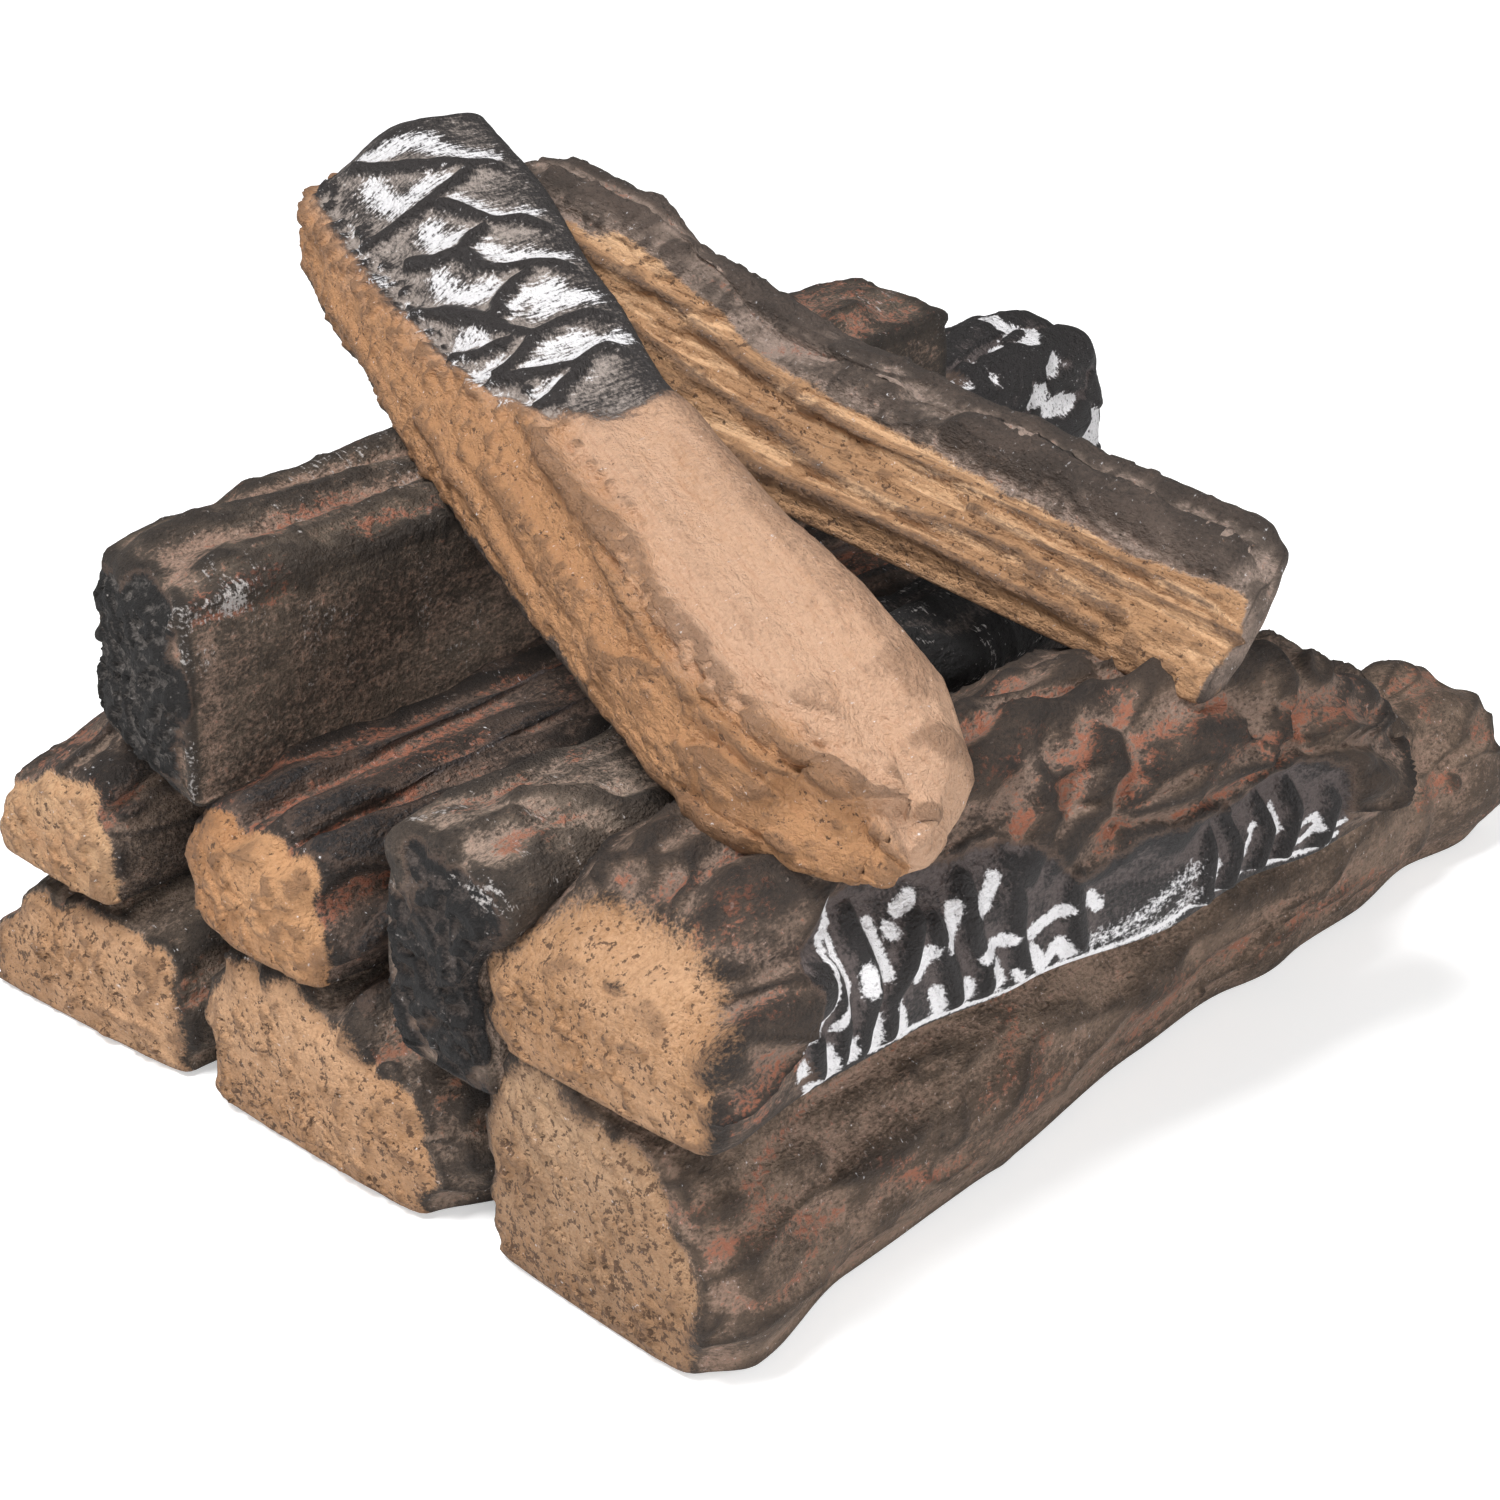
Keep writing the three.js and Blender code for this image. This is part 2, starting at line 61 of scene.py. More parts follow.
# %% Tables of the ten logs
# An outline lists (from right to left, from base to crown). A station lists (along the length,
# right edge, left edge, crown, mix of front and rear outline, base). Ridges are (depth, number,
# wander, phase). A knot is (along, round, height, reach).
LOGS = {
    "hearth_log_left": dict(
        size=(300, 75, 43), slant=-5, bulge=1.5,
        front=[(0.06, 0), (0, 0.15), (0, 0.55), (0.07, 0.82), (0.2, 0.97), (0.42, 1), (0.62, 0.94),
               (0.8, 0.8), (0.93, 0.56), (1, 0.3), (0.99, 0.1), (0.93, 0)],
        rear=[(0.1, 0), (0, 0.18), (0, 0.5), (0.08, 0.78), (0.24, 0.95), (0.45, 1), (0.65, 0.99),
              (0.83, 0.88), (0.95, 0.62), (1, 0.34), (0.98, 0.1), (0.9, 0)],
        stations=[(0, 0, 1, 0.84, 0, 0), (0.1, -0.03, 1.01, 1, 0.1, 0), (0.4, 0, 0.97, 1, 0.4, 0),
                  (0.7, 0.05, 1.02, 0.97, 0.8, 0), (1, 0.1, 0.92, 0.9, 1, 0)],
        ridges=(1.6, 7, 0.5, 0.4), knots=[],
    ),
    "hearth_log_middle": dict(
        size=(290, 92, 50), slant=0, bulge=2,
        front=[(0.12, 0), (0.03, 0.12), (0.02, 0.45), (0.09, 0.68), (0.24, 0.83), (0.42, 0.92),
               (0.6, 0.99), (0.8, 0.99), (0.93, 0.86), (0.99, 0.55), (1, 0.18), (0.93, 0)],
        rear=[(0.1, 0), (0, 0.15), (0, 0.55), (0.05, 0.8), (0.18, 0.93), (0.42, 1), (0.63, 1),
              (0.8, 0.93), (0.92, 0.76), (0.99, 0.48), (0.99, 0.14), (0.9, 0)],
        stations=[(0, 0.1, 1, 0.9, 0, 0), (0.08, -0.01, 1.01, 1, 0.1, 0),
                  (0.35, 0.01, 0.98, 1, 0.4, 0), (0.65, 0.04, 1.02, 0.98, 0.7, 0),
                  (1, 0.08, 0.94, 0.92, 1, 0)],
        ridges=(1.8, 8, 0.4, 1.7), knots=[],
    ),
    "hearth_log_right": dict(
        size=(353, 70, 63), slant=3, bulge=1.5,
        front=[(0.1, 0), (0, 0.12), (0.02, 0.42), (0.14, 0.68), (0.32, 0.84), (0.56, 0.94),
               (0.8, 0.98), (0.94, 0.8), (0.99, 0.5), (1, 0.25), (0.98, 0.08), (0.9, 0)],
        rear=[(0.14, 0), (0.01, 0.15), (0, 0.45), (0.1, 0.76), (0.3, 0.95), (0.54, 1),
              (0.76, 0.95), (0.92, 0.78), (1, 0.5), (0.99, 0.26), (0.96, 0.1), (0.86, 0)],
        stations=[(0, 0, 0.98, 0.97, 0, 0), (0.04, -0.12, 0.99, 1, 0, 0),
                  (0.15, -0.02, 0.98, 1, 0.15, 0), (0.31, -0.01, 0.96, 1, 0.4, 0),
                  (0.5, 0.07, 0.93, 0.99, 0.6, 0), (0.61, 0.09, 0.88, 0.98, 0.8, 0),
                  (0.68, 0.06, 0.82, 0.96, 1, 0), (0.79, 0.04, 0.76, 0.88, 1, 0),
                  (0.88, 0.1, 0.66, 0.72, 1, 0), (0.95, 0.04, 0.68, 0.74, 1, 0),
                  (1, 0.08, 0.62, 0.66, 1, 0)],
        ridges=(1.8, 6, 0.6, 0.9), knots=[(0.66, 0.1, 0.06, 0.25)],
    ),
    "long_log": dict(
        size=(406, 49, 44), slant=0, bulge=1,
        front=[(0.08, 0), (0, 0.1), (0.02, 0.5), (0.07, 0.82), (0.17, 0.97), (0.32, 1),
               (0.5, 0.94), (0.68, 0.82), (0.85, 0.64), (0.97, 0.4), (0.98, 0.16), (0.86, 0)],
        rear=[(0.06, 0), (0, 0.08), (0, 0.5), (0.05, 0.82), (0.2, 0.96), (0.4, 1), (0.6, 0.99),
              (0.8, 0.92), (0.94, 0.74), (1, 0.45), (0.98, 0.12), (0.9, 0)],
        stations=[(0, 0.02, 0.98, 0.66, 0, 0), (0.03, 0.01, 1, 0.78, 0, 0),
                  (0.09, 0, 1, 0.98, 0, 0), (0.3, -0.03, 0.98, 1, 0.3, 0),
                  (0.6, -0.12, 0.9, 0.98, 0.7, 0), (0.8, -0.2, 0.82, 1.04, 1, 0),
                  (0.94, -0.26, 0.8, 1.2, 1, 0), (0.98, -0.24, 0.74, 1.12, 1, 0),
                  (1, -0.18, 0.66, 0.96, 1, 0)],
        ridges=(1.3, 6, 0.5, 2.2), knots=[],
    ),
    "ridged_log": dict(
        size=(290, 51, 35.5), slant=1, bulge=1.5,
        front=[(0.12, 0), (0.03, 0.1), (0.04, 0.5), (0.1, 0.82), (0.22, 0.96), (0.42, 1),
               (0.62, 1), (0.85, 0.98), (0.96, 0.84), (1, 0.5), (0.96, 0.18), (0.82, 0)],
        rear=[(0.1, 0), (0, 0.14), (0, 0.52), (0.08, 0.84), (0.24, 0.98), (0.42, 1), (0.62, 0.99),
              (0.82, 0.97), (0.95, 0.8), (1, 0.5), (0.98, 0.15), (0.88, 0)],
        stations=[(0, 0, 1, 0.92, 0, 0), (0.08, -0.04, 1, 1, 0.1, 0),
                  (0.35, -0.06, 0.98, 0.99, 0.4, 0), (0.65, -0.14, 0.94, 1, 0.7, 0),
                  (0.9, -0.2, 0.9, 0.97, 1, 0), (1, -0.16, 0.84, 0.86, 1, 0)],
        ridges=(1.7, 7, 0.35, 0.2), knots=[],
    ),
    "black_block_log": dict(
        size=(255, 46, 60), slant=2, bulge=1,
        front=[(0.27, 0), (0.19, 0.08), (0.26, 0.34), (0.27, 0.56), (0.08, 0.88), (0.3, 0.96),
               (0.58, 1), (0.86, 0.98), (0.97, 0.86), (1, 0.45), (0.97, 0.12), (0.86, 0)],
        rear=[(0.27, 0), (0.19, 0.08), (0.26, 0.34), (0.25, 0.64), (0.16, 0.92), (0.36, 1),
              (0.58, 0.99), (0.84, 0.96), (0.96, 0.84), (1, 0.45), (0.97, 0.12), (0.86, 0)],
        stations=[(0, 0.02, 0.98, 0.97, 0, 0), (0.06, 0, 1, 1, 0, 0), (0.3, 0, 0.99, 0.96, 0.3, 0),
                  (0.55, 0.02, 1, 1, 0.6, 0), (0.85, 0.04, 0.98, 0.97, 1, 0),
                  (1, 0.08, 0.95, 0.93, 1, 0)],
        ridges=(0.9, 5, 0.6, 1.1), knots=[],
    ),
    "ash_streaked_log": dict(
        size=(247, 69, 52), slant=0, bulge=1.5,
        front=[(0.12, 0), (0, 0.12), (0.03, 0.48), (0.1, 0.72), (0.25, 0.92), (0.43, 1),
               (0.66, 0.97), (0.86, 0.84), (0.97, 0.6), (0.98, 0.3), (0.93, 0.08), (0.84, 0)],
        rear=[(0.1, 0), (0, 0.1), (0.02, 0.36), (0.1, 0.66), (0.28, 0.91), (0.5, 1), (0.7, 0.95),
              (0.87, 0.8), (0.97, 0.54), (0.99, 0.25), (0.95, 0.06), (0.86, 0)],
        stations=[(0, 0.02, 1.04, 0.62, 0, 0), (0.03, 0, 1.05, 0.72, 0, 0),
                  (0.13, 0.03, 1, 0.98, 0.2, 0), (0.27, 0.02, 0.95, 1, 0.5, 0),
                  (0.42, -0.06, 0.86, 1.02, 0.8, 0), (0.62, -0.21, 0.74, 1.08, 1, 0),
                  (0.72, -0.2, 0.64, 1.08, 1, 0), (0.84, -0.28, 0.46, 0.96, 1, 0),
                  (0.94, -0.28, 0.2, 0.68, 1, 0), (1, -0.2, 0.02, 0.4, 1, 0)],
        ridges=(1.6, 6, 0.7, 2.9), knots=[],
    ),
    "upper_block_log": dict(
        size=(289, 50, 53), slant=11, bulge=1.5,
        front=[(0.05, 0), (0, 0.06), (0, 0.5), (0.01, 0.9), (0.06, 0.98), (0.3, 1), (0.6, 1.02),
               (0.84, 0.99), (0.93, 0.9), (0.97, 0.5), (1, 0.08), (0.94, 0)],
        rear=[(0.05, 0), (0, 0.06), (0, 0.5), (0.01, 0.9), (0.06, 0.97), (0.3, 0.98), (0.55, 1),
              (0.78, 1), (0.92, 0.92), (0.97, 0.5), (1, 0.08), (0.94, 0)],
        stations=[(0, 0.01, 0.97, 0.98, 0, 0), (0.05, 0, 1, 1, 0, 0),
                  (0.25, 0.01, 1, 0.96, 0.2, 0), (0.5, 0, 0.99, 1, 0.5, 0),
                  (0.75, 0.02, 1, 0.97, 0.8, 0), (0.92, 0.01, 0.99, 1, 1, 0),
                  (1, 0.03, 0.96, 0.97, 1, 0)],
        ridges=(0.8, 4, 0.8, 0.6), knots=[],
    ),
    "charred_split_log": dict(
        size=(313, 54, 54), slant=0, bulge=4,
        front=[(0.16, 0), (0.03, 0.16), (0, 0.45), (0.02, 0.76), (0.1, 0.94), (0.26, 1),
               (0.45, 0.96), (0.62, 0.9), (0.77, 0.78), (0.88, 0.5), (0.97, 0.2), (0.93, 0)],
        rear=[(0.68, 0), (0.58, 0.1), (0.36, 0.38), (0.14, 0.66), (0.02, 0.84), (0.08, 0.96),
              (0.28, 0.98), (0.52, 0.9), (0.76, 0.76), (0.91, 0.58), (0.99, 0.28), (0.96, 0)],
        stations=[(0, 0.22, 0.62, 0.42, 0, 0.14), (0.04, 0, 0.84, 0.64, 0, 0.13),
                  (0.1, -0.04, 0.98, 0.8, 0, 0.11), (0.18, 0, 1.05, 0.86, 0.1, 0.07),
                  (0.3, 0.12, 1.06, 0.88, 0.2, 0.02), (0.46, 0.14, 1.08, 0.87, 0.5, 0),
                  (0.64, 0.1, 1.08, 0.9, 1, 0), (0.84, 0.02, 1.03, 0.92, 1, 0),
                  (0.96, 0.02, 0.98, 0.9, 1, 0), (1, 0.08, 0.88, 0.8, 1, 0)],
        ridges=(1, 5, 0.5, 1.3), knots=[],
    ),
    "cross_log": dict(
        size=(262, 42, 48), slant=0, bulge=1.5,
        front=[(0.72, 0), (0.6, 0.14), (0.42, 0.42), (0.26, 0.72), (0.17, 0.92), (0.24, 1),
               (0.34, 0.88), (0.44, 0.8), (0.56, 0.72), (0.76, 0.42), (0.93, 0.14), (0.96, 0)],
        rear=[(0.66, 0), (0.46, 0.16), (0.24, 0.42), (0.06, 0.7), (0, 0.86), (0.06, 0.98),
              (0.18, 1), (0.3, 0.94), (0.42, 0.8), (0.7, 0.42), (0.93, 0.12), (0.96, 0)],
        stations=[(0, 0.03, 0.97, 0.66, 0, 0), (0.05, 0, 1, 0.7, 0, 0), (0.3, 0, 1, 0.7, 0.2, 0),
                  (0.6, 0, 1, 0.7, 0.5, 0), (0.72, 0, 1, 0.8, 0.8, 0),
                  (0.82, -0.02, 1, 1.02, 1, 0), (0.93, 0, 1, 1.04, 1, 0),
                  (1, 0.1, 0.9, 0.9, 1, 0)],
        ridges=(1.2, 5, 0.4, 2), knots=[],
    ),
}
print("logs:", len(LOGS))

# %% [markdown]
# ## Where each log rests
#
# The logs aren't fixed to each other. Most lie along the stack, one is tipped a little about its
# length, and the two split logs lean across it. The places are those at which the solids were let
# down on each other, so the visible logs touch where the solids do.

# %% Place and turns of each log
# A place lists the right front lower corner in the stack, in millimetres, and then the turns in
# degrees about the log's own length, about its own width and about the upright.
MM = 0.001  # one millimetre in metres
# Millimetres from the stack's corner to the origin of the row frame.
STACK_MIDDLE = (198.89, 129.93, 0.0)
PLACES = {
    "hearth_log_left": ((0.0, 186.0, 0.0), (0.0, 0.0, 0.0)),
    "hearth_log_middle": ((0.0, 80.0, 0.0), (0.0, 0.0, 0.0)),
    "hearth_log_right": ((0.0, 0.0, 0.0), (0.0, 0.0, 0.0)),
    "long_log": ((-4.02, 205.0, 44.90), (0.0, 0.0, 0.0)),
    "ridged_log": ((0.0, 123.99, 51.74), (0.0, 0.0, 0.0)),
    "black_block_log": ((0.0, 54.99, 48.19), (0.0, 0.0, 0.0)),
    "ash_streaked_log": ((0.0, -8.0, 63.97), (0.0, 0.0, 0.0)),
    "upper_block_log": ((-1.02, 168.01, 87.78), (2.12, 0.0, 0.0)),
    "charred_split_log": ((79.98, -15.0, 105.35), (0.0, -10.65, 68.80)),
    "cross_log": ((203.0, -13.01, 118.07), (0.0, -6.90, 93.40)),
}
# The body that carries each log and the slot of its paint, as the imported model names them.
RIDES = {
    "hearth_log_left": ("stack_base", "left_hearth_bark"),
    "hearth_log_middle": ("stack_base", "middle_hearth_bark"),
    "hearth_log_right": ("stack_base", "right_hearth_bark"),
    "long_log": ("stack_base", "long_bark"),
    "ridged_log": ("stack_base", "ridged_bark"),
    "black_block_log": ("black_block", "black_char"),
    "ash_streaked_log": ("stack_base", "ash_streaked_bark"),
    "upper_block_log": ("upper_block", "upper_block_bark"),
    "charred_split_log": ("charred_split", "tan_split_wood"),
    "cross_log": ("cross", "cross_split_wood"),
}


def to_stack(name, points):
    """The log's own millimetres as metres in the row frame: turned about its length, then its
    width, then the upright, moved to its place, and counted from the middle of the stack."""
    place, turns = PLACES[name]
    roll, tip, turn = (math.radians(angle) for angle in turns)
    (cr, sr), (cp, sp), (ct, st) = ((math.cos(a), math.sin(a)) for a in (roll, tip, turn))
    about_x = np.array([[1, 0, 0], [0, cr, -sr], [0, sr, cr]])
    about_y = np.array([[cp, 0, sp], [0, 1, 0], [-sp, 0, cp]])
    about_z = np.array([[ct, -st, 0], [st, ct, 0], [0, 0, 1]])
    moved = points @ (about_z @ about_y @ about_x).T + np.array(place) - np.array(STACK_MIDDLE)
    return moved * MM


print("places:", len(PLACES), "bodies:", sorted({body for body, slot in RIDES.values()}))

# %% [markdown]
# ## The bare body of a log
#
# The body is a grid: one parameter runs along the log and over both end faces, the other runs once
# round it. Every point follows from the two outlines and the stations, as in the solid, so the
# whole log is worked out as arrays. The rim of each sawn end is rounded, as a mould wears it.

# %% Easing, outline and stations


def smooth(t):
    """0 below 0, 1 above 1, and an S-shaped rise t*t*(3 - 2t) between them."""
    t = np.clip(t, 0.0, 1.0)
    return t * t * (3 - 2 * t)


def closed_curve(points, turn):
    """A closed smooth curve through the points: between the second and third of four neighbours
    the cubic leaves and arrives with half the difference of the points on either side."""
    points = np.array(points, float)
    step = np.mod(turn, 1.0) * len(points)
    first = np.floor(step).astype(int)
    t = (step - first)[..., None]
    p0, p1, p2, p3 = (points[(first + k) % len(points)] for k in (-1, 0, 1, 2))
    square = (2 * p0 - 5 * p1 + 4 * p2 - p3) * t**2
    cube = (3 * p1 - p0 - 3 * p2 + p3) * t**3
    return 0.5 * (2 * p1 + (p2 - p0) * t + square + cube)


def station_values(log, share):
    """Right and left edge, crown, mix and base at a share of the length, eased from row to row."""
    table = np.array(log["stations"], float)
    after = np.clip(np.searchsorted(table[:, 0], share), 1, len(table) - 1)
    low, high = table[after - 1], table[after]
    t = smooth((share - low[..., 0]) / (high[..., 0] - low[..., 0]))[..., None]
    return np.moveaxis(low + (high - low) * t, -1, 0)[1:]


print("crown of the long log at its middle, as a share of its height:",
      round(float(station_values(LOGS["long_log"], np.array([0.5]))[2][0]), 3))

# %% [markdown]
# ## Ridges and one point of the body
#
# The wood's ridges run the whole length of a log and wander from side to side, and one log has a
# knot. A texture could draw them, but the solid has them too, so the same sum of waves is used.

# %% Ridges, knots and the bare surface


def ridge_height(log, share, turn, rise):
    """Ridges along the log: depth * cos(number of ridges * turn + a drift that wanders with the
    length), fading out towards the base. A knot adds a round hump."""
    depth, number, wander, phase = log["ridges"]
    angle = 2 * np.pi * share
    drift = wander * np.sin(angle + phase) + wander * np.sin(2 * angle + 2 * phase)
    height = depth * smooth(2 * rise) * np.cos(2 * np.pi * number * turn + drift)
    length, width, tall = log["size"]
    for along, round_share, hump, reach in log["knots"]:
        far = ((share - along) * length) ** 2 + ((turn - round_share) * (width + tall) * 2) ** 2
        height = height + hump * width * np.exp(-far / (reach * width) ** 2)
    return height


def body_point(log, share, x, size, turn):
    """A place on the bare log. The outline is mixed, stretched between right and left edge and
    between base and crown, pushed out by the ridges, and shrunk to the middle by size."""
    length, width, tall = log["size"]
    right, left, crown, mix, base = station_values(log, share)
    front, rear = closed_curve(log["front"], turn), closed_curve(log["rear"], turn)
    outline = front + (rear - front) * mix[..., None]
    rise = outline[..., 1]
    y = (right + (left - right) * outline[..., 0]) * width
    z = (base + (crown - base) * rise) * tall
    middle_y, middle_z = (right + left) * width / 2, (base + crown) * tall / 2
    away = np.hypot(y - middle_y, z - middle_z)
    push = ridge_height(log, share, turn, rise) / away
    y = middle_y + (y - middle_y) * (1 + push) * size
    z = middle_z + (z - middle_z) * (1 + push) * size
    slant = log["slant"] * (1 - share) * y / width
    return np.stack([x + slant, y, np.maximum(z, base * tall)], -1), rise


crown, _ = body_point(LOGS["long_log"], np.array([0.5]), 203.0, 1.0, np.array([0.5]))
print("a point on top of the long log, in mm:", np.round(crown[0], 1).tolist())

# %% [markdown]
# ## The grid of a log
#
# Rows of points pass over the front face, round its worn rim, along the body and over the rear
# face. A fixed number of rows and columns would be simpler, but square faces of one size carry
# fine relief best, so the spacing follows from the log's girth, its length and the number of
# triangles.

# %% The grid of a whole log
RIM_DEPTH = 3.0  # millimetres over which the rim of a sawn end is rounded
RIM_SHARE = 0.94  # size of an end face inside its rounded rim, as a share of the outline
RIM_ROWS = 4  # rows round a rim
POLE_SHARE = 0.03  # size of the innermost row of an end face
TRIANGLES = 165_000  # about as many for each log
GIRTH_AT = 0.4  # share of the length at which the girth is measured
GIRTH_SAMPLES = 1200  # points that measure it
CAPS_IN_GIRTHS = 0.22  # what both end faces add to the length, as a share of the girth


def body_grid(log):
    """The grid of a whole log: rows over the front face, round its rim, along the body, round the
    rear rim and over the rear face, all spaced alike so that the faces come out square. Beside the
    points it gives, for each of them, rise (0 base, 1 crown), turn (share of the way round), share
    and along (place along the length), size (1 on the body, less on the ends) and sawn (-1 on the
    front end, 1 on the rear one, 0 between)."""
    length, width, tall = log["size"]
    dense = np.linspace(0, 1, GIRTH_SAMPLES, endpoint=False)
    ring, _ = body_point(log, np.full_like(dense, GIRTH_AT), 0.0, 1.0, dense)
    steps = np.linalg.norm(np.roll(ring, -1, 0) - ring, axis=1)
    girth = steps.sum()
    spacing = math.sqrt(2 * girth * (length + CAPS_IN_GIRTHS * girth) / TRIANGLES)
    columns = int(girth / spacing)
    walked = np.concatenate([[0], np.cumsum(steps)])
    turn = np.interp(np.arange(columns) / columns * girth, walked, np.append(dense, 1))

    cap_rows = int(min(width, tall) / 2 / spacing)
    cap = np.linspace(POLE_SHARE, RIM_SHARE, cap_rows, endpoint=False)
    dome = smooth((RIM_SHARE - cap) / (RIM_SHARE / 2)) * log["bulge"]
    arc = np.linspace(0, np.pi / 2, RIM_ROWS, endpoint=False)
    rim_size, rim_x = RIM_SHARE + (1 - RIM_SHARE) * np.sin(arc), RIM_DEPTH * (1 - np.cos(arc))
    along = np.linspace(RIM_DEPTH, length - RIM_DEPTH, int(length / spacing))
    x = np.concatenate([-dome, rim_x, along, length - rim_x[::-1], length + dome[::-1]])
    size = np.concatenate([cap, rim_size, np.ones_like(along), rim_size[::-1], cap[::-1]])
    share = np.clip(x / length, 0, 1)
    points, rise = body_point(log, share[:, None], x[:, None], size[:, None], turn[None, :])
    sawn = np.where(size < 0.999, np.where(x < length / 2, -1.0, 1.0), 0.0)
    rows = dict(share=share, along=x, size=size, sawn=sawn)
    spread = {key: np.broadcast_to(value[:, None], rise.shape) for key, value in rows.items()}
    spread["turn"] = np.broadcast_to(turn, rise.shape)
    return dict(points=points, rise=rise, spacing=spacing, **spread)


# %% [markdown]
# ## The way inwards
#
# Relief is measured along the direction that points into the log at each place. Blender works such
# directions out for a finished mesh. Here they are needed before there is one, so they come from
# the grid's own steps.

# %% Inward directions, and each bare log measured against its solid


def inward(points):
    """The direction into the log at every grid point: the cross product of the step round the log
    and the step along it, each taken between the two neighbours."""
    along = np.gradient(points, axis=0)
    around = np.roll(points, -1, 1) - np.roll(points, 1, 1)
    normal = np.cross(around, along)
    length = np.linalg.norm(normal, axis=-1, keepdims=True)
    return normal / np.maximum(length, 1e-9)


for name, log in LOGS.items():
    grid = body_grid(log)
    metres = to_stack(name, grid["points"].reshape(-1, 3))
    off = (np.array([metres.min(0), metres.max(0)]) - np.array(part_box(name))) / MM
    print(name, grid["rise"].shape, "rows and columns,", round(grid["spacing"], 2), "mm apart,",
          "off the solid's box by mm", np.round(off, 1).tolist())

# %% [markdown]
# ## Random relief
#
# Cast bark, sawn ends and char all have relief from millimetres to centimetres across. Blender's
# own displacement would give it, but only from a texture. Here one lattice of random numbers,
# eased between its corners and read at several sizes, gives every kind: stretched along the log
# for bark and grain, even in all directions for pits, and folded at its middle value for creases.

# %% Lattice noise, layers, patches and creases
# A size is one number for all directions, or three: along the log, across it and up.
LATTICE_SIDE = 48
LATTICE = np.random.default_rng(11).random((LATTICE_SIDE, LATTICE_SIDE, LATTICE_SIDE))
SHIFT_STEP = np.array([17.3, 31.7, 47.9])  # lattice cells for each unit of `shift`


def grain(q, size, shift=0.0):
    """Random height from 0 to 1 that changes over `size` millimetres: the eight lattice values
    round the point, weighted by eased distances."""
    p = q / np.asarray(size, float) + shift * SHIFT_STEP
    cell = np.floor(p).astype(int)
    t = smooth(p - cell)
    total = 0.0
    for corner in np.ndindex(2, 2, 2):
        weight = np.prod(np.where(corner, t, 1 - t), axis=-1)
        i, j, k = np.moveaxis((cell + corner) % LATTICE_SIDE, -1, 0)
        total = total + weight * LATTICE[i, j, k]
    return total


def layers(q, size, count, shift=0.0):
    """Several grains, each half the size and half the weight of the one before."""
    weights = 0.5 ** np.arange(count)
    sizes = [np.asarray(size, float) * weight for weight in weights]
    total = sum(w * grain(q, s, shift + k) for k, (w, s) in enumerate(zip(weights, sizes)))
    return total / weights.sum()


def patches(q, size, count, shift, low, width):
    """1 where layers of grain pass `low` by `width`, 0 where they stay below `low`, eased between:
    the lower `low` is, the more of the surface the patches cover."""
    return smooth((layers(q, size, count, shift) - low) / width)


def creases(q, size, sharp, shift=0.0):
    """1 on thin winding lines, 0 away from them: layers folded at their middle, to a power."""
    return (1 - np.abs(2 * layers(q, size, 2, shift) - 1)) ** sharp


def swayed(q, reach, size, shift=0.0):
    """The points pushed sideways by up to half of `reach`, so that straight relief flows."""
    side = [layers(q, size, 2, shift + k) - 0.5 for k in (3.1, 5.7)]
    return q + reach * np.stack([0 * side[0], side[0], side[1]], -1)


print("one grain at the origin:", round(float(grain(np.zeros(3), 5.0)), 3))

# %% [markdown]
# ## Strokes
#
# Grooves, ash and painted marks sit at their own places on a log. A curve object could carry each,
# but a stroke is simpler: a path of places on the log, each as a share of its length and of the
# way round, and a reach in millimetres over which its effect fades.

# %% Paths on a log


def on_log(log, places):
    """Places given as (share of the length, share of the way round), as points on the bare log."""
    share, turn = np.array(places, float).T
    points, _ = body_point(log, share, share * log["size"][0], 1.0, turn)
    return points


def near(q, path, reach):
    """1 on a path of points and 0 at `reach` millimetres from it, eased between."""
    low, high = path.min(0) - reach, path.max(0) + reach
    inside = np.all((q > low) & (q < high), axis=-1)
    close = q[inside]
    best = np.full(len(close), np.inf)
    for a, b in zip(path[:-1], path[1:]):
        run = b - a
        t = np.clip((close - a) @ run / max(run @ run, 1e-9), 0, 1)
        best = np.minimum(best, np.linalg.norm(close - a - t[:, None] * run, axis=1))
    result = np.zeros(q.shape[:-1])
    result[inside] = smooth(1 - best / reach)
    return result


def strokes(q, log, paths, reach):
    """The strongest of several strokes at every point."""
    total = np.zeros(q.shape[:-1])
    for path in paths:
        total = np.maximum(total, near(q, on_log(log, path), reach))
    return total


def carved(q, log, cuts):
    """Strength in millimetres of lines given as (paths, reach, strength): the strongest counts."""
    total = np.zeros(q.shape[:-1])
    for paths, reach, depth in cuts:
        total = np.maximum(total, depth * strokes(q, log, paths, reach))
    return total


middle_line = on_log(LOGS["long_log"], [(0.0, 0.5), (1.0, 0.5)])
print("a stroke along the long log, in mm:", np.round(middle_line).tolist())

# %% [markdown]
# ## Relief and paint masks
#
# The mould gives a log its relief and the painter its colours, and the two go together, so one
# function works out both for a log. Relief is in millimetres along the inward direction and is
# nearly all negative: the bark is built out from the plain body, and the lines and spots that are
# called cuts, grooves, folds, splits, dents and pits below are those that stand out furthest.
# A mask is a number from 0 to 1 at each point: bare for unpainted ceramic, char and ash for the
# burnt places, rust for the brushed ones, tint for a second tone.

# %% Sawn ends


